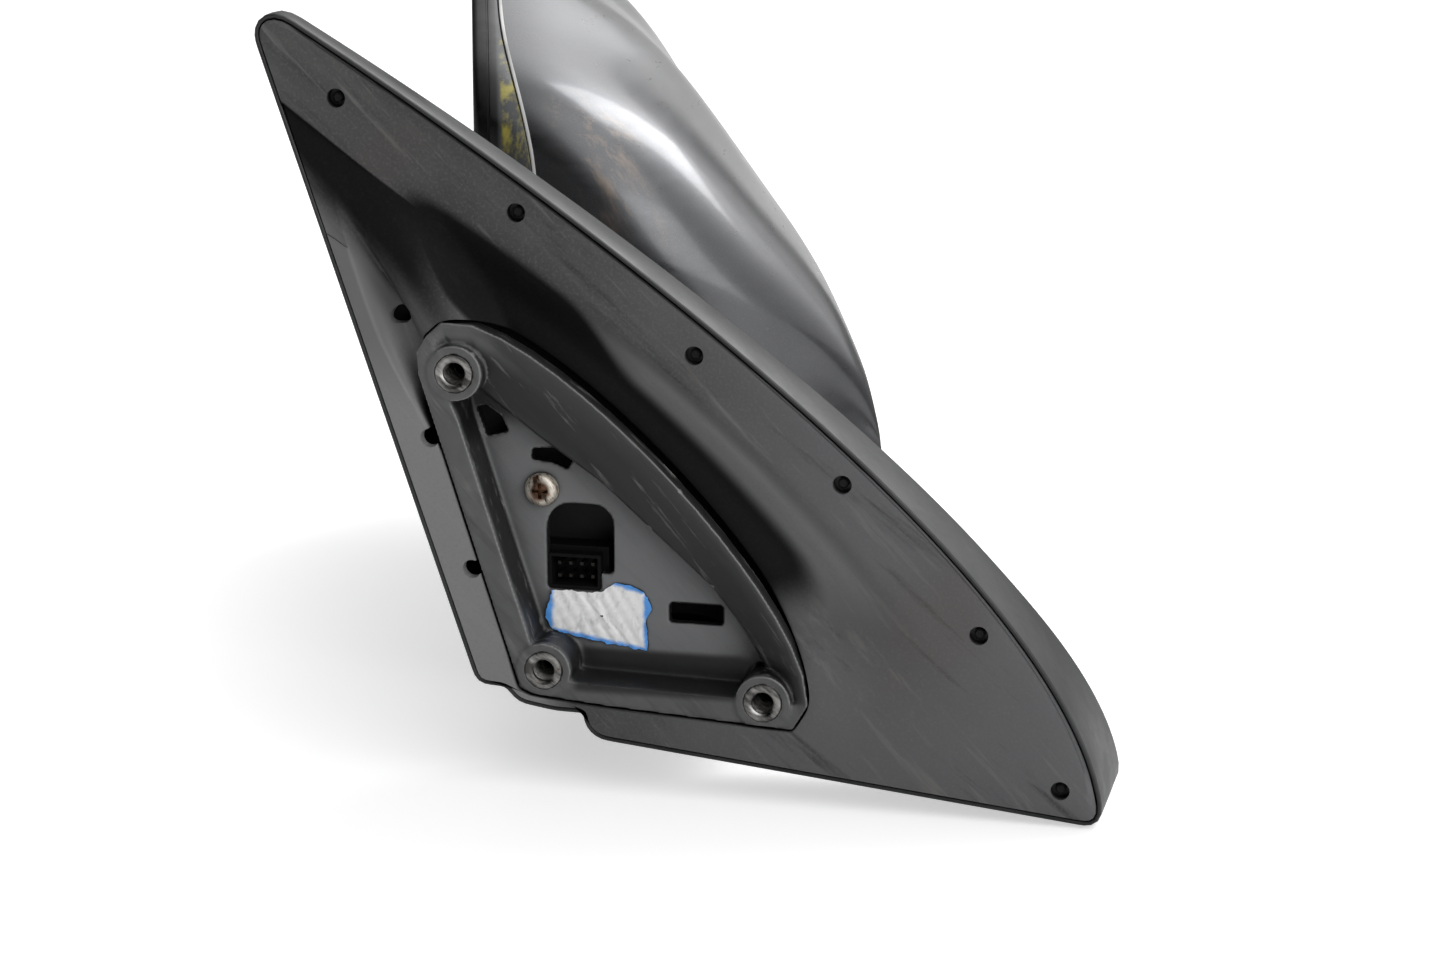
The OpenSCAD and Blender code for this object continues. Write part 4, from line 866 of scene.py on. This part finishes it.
# pegs in the front holes, painted near black as shade
for k, (x, z) in enumerate(PEG_HOLES[:PEGS]):
    peg = lathe(f"gasket_peg_{k}", [(0.9, 1.6), (1.3, 2.0), (1.3, 4.6)], (x, 0, z), (0, 1, 0), 24)
    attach(paint(peg, shade_black), "base")

# ---------- bracket: its own solid with the soft edges of a casting ----------

bracket = placed("cast_bracket", nodes["mount_bracket"].data.copy())
rework(bracket.data, weld)
bracket.data.materials.clear()
apply_modifier(bracket, "REMESH", mode="VOXEL", voxel_size=0.00045, adaptivity=0.0)
apply_modifier(bracket, "SMOOTH", factor=0.5, iterations=3)
apply_modifier(bracket, "DECIMATE", ratio=0.35)
bracket.data.shade_smooth()
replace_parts(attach(paint(bracket, cast), "base"), "mount_bracket")

# ---------- inserts and screw ----------


def insert(name, node, at):
    """steel insert with a cut thread, run out at its mouth"""
    mouth, length, pitch, n = 0.5, 11.0, 1.0, 48
    bore, thread, chamfer = 2.5, 0.42, 0.25
    k = np.linspace(0, 2 * np.pi, n, endpoint=False)

    def ring(r, h):
        return np.c_[at[0] + r * np.cos(k), np.full(n, h), at[1] + r * np.sin(k)]

    loops = [ring(4.7, length), ring(4.7, mouth)]
    loops += [ring(r, h) for r, h in ((4.5, 0.12), (4.1, 0.02), (3.5, 0.02), (3.1, 0.2))]
    for h in np.linspace(mouth, length - 0.3, 110):
        wave = np.abs(((h / pitch - k / (2 * np.pi)) % 1.0) - 0.5) * 2
        fade = min(1, h - mouth)
        loops.append(ring(bore + thread * wave * fade + chamfer * (1 - fade), h))
    obj = loft(name, loops, 40, ring=True)
    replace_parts(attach(paint(obj, fixing_steel), "base"), node)


insert("insert_top", "fixing_insert_top", (-21.2, 73.3))
insert("insert_rear", "fixing_insert_rear", (0, 0))
insert("insert_front", "fixing_insert_front", (54.5, -4.6))

top = FLOOR - 2.6                           # depth of the screw's head
screw = lathe("cover_screw_head", [(0.01, top + 0.05), (1.8, top), (3.0, top + 0.18), (3.8, top + 0.75),
              (4.15, top + 1.5), (4.2, top + 2.45), (1.8, top + 2.5), (1.7, top + 9)],
              (SCREW_X, 0, SCREW_Z), (0, 1, 0), 48)
carve(screw, [box((SCREW_X - w, top - 1, SCREW_Z - h), (SCREW_X + w, top + 1.4, SCREW_Z + h))
              for w, h in ((2, 0.45), (0.45, 2))], 35)
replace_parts(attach(paint(screw, rusty), "base"), "cover_screw")

# ---------- head surface ----------
# in the head's own frame: x forward of the pivot, y outboard of it, z up, turned by YAW

HALF = 128                                  # points on each half of the outline
SEG = 24                                    # steps in a rounded corner
# how much shallower the shell gets towards its outboard end
SHALLOWER = [(0, 1), (30, 0.99), (70, 0.955), (110, 0.885), (150, 0.82), (190, 0.74), (216, 0.64)]
# how much fuller the nose is than in the solid, by height
FULLER = [(8, 0), (20, 1.4), (40, 3.2), (55, 4.2), (70, 4), (82, 2.4), (92, 0.6), (104, -0.8), (125, -1.6),
          (156, -1.6)]
# the rim's corners, as [outboard, up, radius]
corners = rounded([
    (3, HEAD_LOW, 13), (3, HEAD_TOP - 22, 26), (62, HEAD_TOP + 2, 60), (150, HEAD_TOP + 2.5, 70),
    (HEAD_OUT, HEAD_TOP - 18, 44), (HEAD_OUT - 4, HEAD_LOW + 22, 30), (HEAD_OUT - 34, HEAD_LOW, 50)], SEG)
far = 5 * (SEG + 1) + SEG // 4              # where the line passes the head's outboard end
near = [(3, NOSE_Z)]
rim_line = soften(np.vstack([
    spaced(np.vstack([near, corners[SEG + 1:far + 1]]), HALF),
    spaced(np.vstack([corners[far:], corners[:SEG + 1], near]), HALF)]), 2)
out, height = rim_line.T


def rim(inset):
    """the outline of the head where the glass is"""
    return grown(rim_line, -inset)


def depth(y):
    """from the rim to the nose line, y outboard"""
    return (NOSE_X + RIM_BACK) * table(y, SHALLOWER)


bluff = mix(2, 2.8, smooth((out - 110) / 90))
closing = mix(0.35, 0.72, smooth((height - NOSE_Z + 10) / 70))
nose_line = np.c_[mix(110, out, 0.84), NOSE_Z + out * 0.06]
bulge = smooth((44 - out) / 40) * np.where(height < NOSE_Z, 1, 1 - smooth((height - 100) / 40) * 0.5)


def section(u, r):
    """the outline r drawn in to the nose line, u from rim to nose"""
    return mix(nose_line, r, np.maximum(0.015, np.maximum(0, 1 - u**bluff) ** closing)[:, None])


def head_point(u, r, d):
    """the head's surface at u for each point of an outline, d inside it"""
    q = section(u, r)
    return np.c_[-RIM_BACK + (depth(q[:, 0]) - d) * u, q[:, 0] - 24 * np.sin(np.pi * u) * bulge, q[:, 1]]


def share_at(x, r, d):
    """the u at which the surface is x forward"""
    u = np.full(len(r), 0.3)
    for _ in range(6):
        u = np.minimum(1, (x + RIM_BACK) / (depth(section(u, r)[:, 0]) - d))
    return u


def head_loop(x, d):
    """the surface's section at x, d inside it"""
    r = rim(d)
    return head_point(share_at(x, r, d), r, d)


edge_x = -RIM_BACK + 7 + 8 * smooth((60 - out) / 60) * smooth((HEAD_TOP + 4 - height) / 50)


def cap_loop(t, d, forward=0.0):
    """the cap's loops: t from its edge to the nose, d inside the surface"""
    r = rim(d)
    return head_point(mix(share_at(edge_x + forward, r, d), 1, t), r, d)


def in_head(loops):
    """loops of the head's own frame in the row's frame"""
    c, s = math.cos(YAW), math.sin(YAW)
    return [np.c_[PX + p[:, 0] * c - p[:, 1] * s, PY + p[:, 0] * s + p[:, 1] * c, p[:, 2]] for p in loops]


def swollen(loop):
    """the nose as full as the real one"""
    d = table(loop[:, 2], FULLER)
    return loop + np.c_[d * smooth((loop[:, 0] + 10) / 35), np.zeros((len(loop), 2))]


to_nose = np.sin(np.linspace(0, np.pi / 2, 60)[1:]) * 0.9985
shell_out = [cap_loop(t, 0) for t in to_nose]
highlight_rim = [cap_loop(0, 0, 0.9), cap_loop(0, 0, 0.45), cap_loop(0, 0.13, 0.13), cap_loop(0, 0.45)]
inner_rim = [cap_loop(0, 1.7), cap_loop(0, SHELL_WALL - 0.13, 0.13), cap_loop(0, SHELL_WALL, 0.45)]
shell_in = [cap_loop(t, SHELL_WALL) for t in (0.03, 0.1, 0.22, 0.34, 0.43, 0.52, 0.61, 0.7, 0.76, 0.82, 0.87,
                                              0.91, 0.95, 0.99)]
shell = in_head([swollen(p) for p in shell_out[::-1] + highlight_rim + inner_rim + shell_in])
cap = loft("painted_cap", shell, 50)
paint(cap, paintwork, rim_highlight)
# painted highlight: the rim's own faces take the pale material
highlight_from = len(shell_out) * len(rim_line)
highlight_to = highlight_from + len(highlight_rim) * len(rim_line)
for face in cap.data.polygons:
    face.material_index = int(highlight_from <= min(face.vertices) and max(face.vertices) < highlight_to)
cut(cap, PARTING, (0, 0, -1))
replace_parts(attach(cap, "head"), "head_cap")
lower = loft("lower_shell", shell, 50)
cut(lower, PARTING - 0.15, (0, 0, 1))
carve(lower, [pivot_hole(15, -20, 30)], 50)
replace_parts(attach(paint(lower, housing_black), "head"), "lower_housing")

# ---------- bezel ----------

LINER = 2.4


def rim_loop(x, d):
    """the rim's outline at x, d inside it"""
    return np.c_[np.full(len(rim_line), x), rim(d)]


# each row is how far forward of the rim and how far inside the surface
flat = [(4, 9.9), (0.9, 9.6), (0.35, 9.35), (0.05, 8.8), (0, 8.2), (0, 2.6), (0.05, 1.9)]
skin = [(0.35, 0.95), (0.9, 0.45), (1.6, 0.3), (3.6, 0.3), (3.75, 0.65), (4.15, 0.65), (4.3, 0.35)]
bezel_loops = [rim_loop(x - RIM_BACK, d) for x, d in flat] + [head_loop(x - RIM_BACK, d) for x, d in skin]
bezel_loops += [cap_loop(0, 0.35, -0.6), cap_loop(0, 0.6, -0.25), cap_loop(0, LINER - 0.3, -0.2),
                cap_loop(0, LINER, 0.1)]
bezel_loops += [mix(cap_loop(0, d), cap_loop(0.22, d), 0.55) for d in (LINER, LINER + 2)]
bezel = loft("bezel", in_head(bezel_loops), 45, ring=True)
carve(bezel, [pivot_hole(17, -20, 120)], 45)
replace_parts(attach(paint(bezel, bezel_black), "head"), "bezel_frame")

# ---------- glass ----------

CENTRE = np.array([97, 69])
GLASS_R, FACE, THICK = 1400, -RIM_BACK + 9, 2


def plate(line, share, x):
    """a loop on the convex plate, share from its centre to the line"""
    q = mix(CENTRE, line, share)
    return np.c_[x + ((q - CENTRE) ** 2).sum(1) / (2 * GLASS_R), q]


glass_line = rim(13)
glass_loops = [plate(glass_line, s, FACE) for s in np.r_[0.02, np.linspace(0.12, 0.96, 12)]]
glass_loops += [plate(grown(glass_line, -d), 1, FACE + back)
                for d, back in ((0.35, 0.02), (0.08, 0.3), (0, 0.8), (0, THICK - 0.1))]
glass_loops += [plate(glass_line, s, FACE + THICK) for s in (0.97, 0.5, 0.02)]
glass = loft("mirror_plate", in_head(glass_loops), 60)
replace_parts(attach(paint(glass, silvered), "glass"), "mirror_glass")

# ---------- sticker ----------


def sticker():
    """torn blank sheet that has lifted a little off the tray"""
    corners = np.array([(-0.4, 17.4), (11.9, 17.5), (15.7, 20.2), (19.6, 19.6), (22.9, 18.1), (25.0, 14.2),
                        (23.4, 11.2), (23.7, 3.2), (14.9, 4.4), (6.3, 5.8), (-0.6, 7.3), (-2.2, 10.7)])
    pts = []
    for a, b in zip(corners, np.roll(corners, -1, 0)):
        n = max(2, int(np.linalg.norm(b - a) / 0.7))
        pts += [mix(a, b, t) for t in np.linspace(0, 1, n, endpoint=False)]
    pts = np.array(pts)
    pts += np.random.default_rng(4).normal(0, 0.12, pts.shape)
    centre = pts.mean(0)
    sheet = []
    for s in 1 - np.arange(15) / 14:
        p = mix(centre, pts, max(s, 0.03))
        x, z = p.T
        waves = 0.32 * np.sin(x * 1.9 + z * 1.1) + 0.25 * np.sin(x * 0.9 - z * 2.3 + 1.3)
        waves += 0.18 * np.sin(x * 3.7 + 0.7) * np.sin(z * 3.1)
        sheet.append(lifted(p, np.minimum(FLOOR - 0.5 + waves * 0.38, FLOOR - 0.12)))
    return loft("torn_sticker", sheet + [p + np.array([0, 0.1, 0]) for p in sheet[::-1]], 60, ring=True)


label = sticker()
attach(paint(label, label_mat), "base")

# ---------- finishes of the solids that stay ----------

for names, finish in (
        (("connector_housing",), connector_black_and_shade), (("connector_pins",), pins_in_shade),
        (("pivot_tube", "fold_stop_ring", "fold_cam_ring", "spring_seat_washer", "spring_cap"), zinc),
        (("retaining_ring", "fold_spring"), spring_dark), (("pivot_bush",), acetal),
        (("head_frame", "glass_holder"), carrier_black), (("glass_heater",), film),
        (("actuator_front_shell", "actuator_rear_shell"), actuator_black),
        (("actuator_screws", "frame_screws"), plated), (("motor_tilt", "motor_pan"), drawn),
        (("worm_tilt", "worm_pan", "drive_wheel_tilt", "drive_wheel_pan", "jack_screw_tilt", "jack_screw_pan",
          "gimbal_ring"), acetal)):
    for name in names:
        shade(paint(nodes[name], finish))

# ---------- studio ----------

WHITE = (0.72, 0.72, 0.72)

scene.view_settings.view_transform = "Standard"
bpy.ops.mesh.primitive_plane_add(size=14, location=(0, 0, cad_box[0][Z] - 0.0004))
floor = bpy.context.object
floor.name = "studio_floor"
floor_mat = Finish("studio_white", WHITE, 0.7, spec=0.1)
rays = floor_mat.node("ShaderNodeLightPath").outputs
# glossy rays meet a dark floor behind the part, but for one lit patch
lit_back = floor_mat.times(floor_mat.climb(Y, 500, 650), floor_mat.climb(X, 120, 0))
far_back = floor_mat.times(floor_mat.climb(Y, 150, 300), floor_mat.rest_of(lit_back), rays["Is Glossy Ray"])
floor_mat.set("Base Color", floor_mat.blend(WHITE, (0.06, 0.06, 0.06), far_back))
floor_mat.set("Emission Color", (1, 1, 1, 1))
floor_mat.set("Emission Strength", floor_mat.times(rays["Is Camera Ray"], 0.55))
paint(floor, floor_mat)

# the room: a direction, then the brightness by how near a ray runs to it, from -1 to 1
SIDE_WALL = ((0.9, 0.1, 0.42),
             ((-1, 0.55), (-0.85, 0.48), (-0.62, 0.12), (-0.45, 0.07), (0.0, 0.12), (0.17, 0.3), (0.3, 0.55),
              (0.5, 1.0), (1, 0.9)))
OVERHEAD = ((0.3, -0.4, 0.87), ((-1, 0.0), (0.84, 0.0), (0.9, 0.5), (0.94, 1.0), (1, 1.0)))
CEILING = ((0.1, 0.75, 0.65), ((-1, 0.0), (0.5, 0.05), (0.8, 0.5), (0.93, 1.9), (1, 2.2)))
# the ceiling's light stops short of the wall behind
DARK_END = ((0.14, 0.97, 0.12), ((-1, 1.0), (0.94, 1.0), (0.965, 0.0), (1, 0.0)))

world = bpy.data.worlds.new("studio")
scene.world = world
world.use_nodes = True
tree = world.node_tree
join = tree.links.new
seen = tree.nodes["Background"]             # what the camera sees; the part sees the room
seen.inputs[0].default_value = (1, 1, 1, 1)
seen.inputs[1].default_value = 1.0
room = tree.nodes.new("ShaderNodeBackground")
way = tree.nodes.new("ShaderNodeTexCoord").outputs["Generated"]


def room_light(direction, stops):
    """brightness of the room round a direction"""
    dot = tree.nodes.new("ShaderNodeVectorMath")
    dot.operation = "DOT_PRODUCT"
    join(way, dot.inputs[0])
    dot.inputs[1].default_value = Vector(direction).normalized()
    fit = tree.nodes.new("ShaderNodeMapRange")
    join(dot.outputs["Value"], fit.inputs[0])
    fit.inputs[1].default_value = -1.0
    curve = tree.nodes.new("ShaderNodeFloatCurve")
    join(fit.outputs[0], curve.inputs["Value"])
    points = curve.mapping.curves[0].points
    while len(points) < len(stops):
        points.new(0.5, 0.5)
    for point, (at, value) in zip(points, stops):
        point.location = ((at + 1) / 2, value)
    curve.mapping.update()
    return curve.outputs[0]


def joined(a, kind, b):
    n = tree.nodes.new("ShaderNodeMath")
    n.operation = kind
    join(a, n.inputs[0])
    join(b, n.inputs[1])
    return n.outputs[0]


ceiling = joined(room_light(*CEILING), "MULTIPLY", room_light(*DARK_END))
join(joined(joined(room_light(*SIDE_WALL), "ADD", room_light(*OVERHEAD)), "ADD", ceiling), room.inputs[1])
pick = tree.nodes.new("ShaderNodeMixShader")
join(tree.nodes.new("ShaderNodeLightPath").outputs["Is Camera Ray"], pick.inputs[0])
join(room.outputs[0], pick.inputs[1])
join(seen.outputs[0], pick.inputs[2])
join(pick.outputs[0], tree.nodes["World Output"].inputs[0])


def softbox(name, at, look, size, power):
    """a rectangular area light that looks at a point"""
    data = bpy.data.lights.new(name, "AREA")
    data.energy = power
    data.shape = "RECTANGLE"
    data.size, data.size_y = size
    obj = placed(name, data)
    obj.location = at
    obj.rotation_euler = (Vector(look) - Vector(at)).to_track_quat("-Z", "Y").to_euler()


softbox("strip_softbox", (0.5, 0.95, 1.2), (0.05, 0.1, 0.08), (0.5, 1.3), 11)
softbox("front_softbox", (1.7, -1.5, 1.0), (0.05, 0, 0.05), (2.2, 2.2), 22)
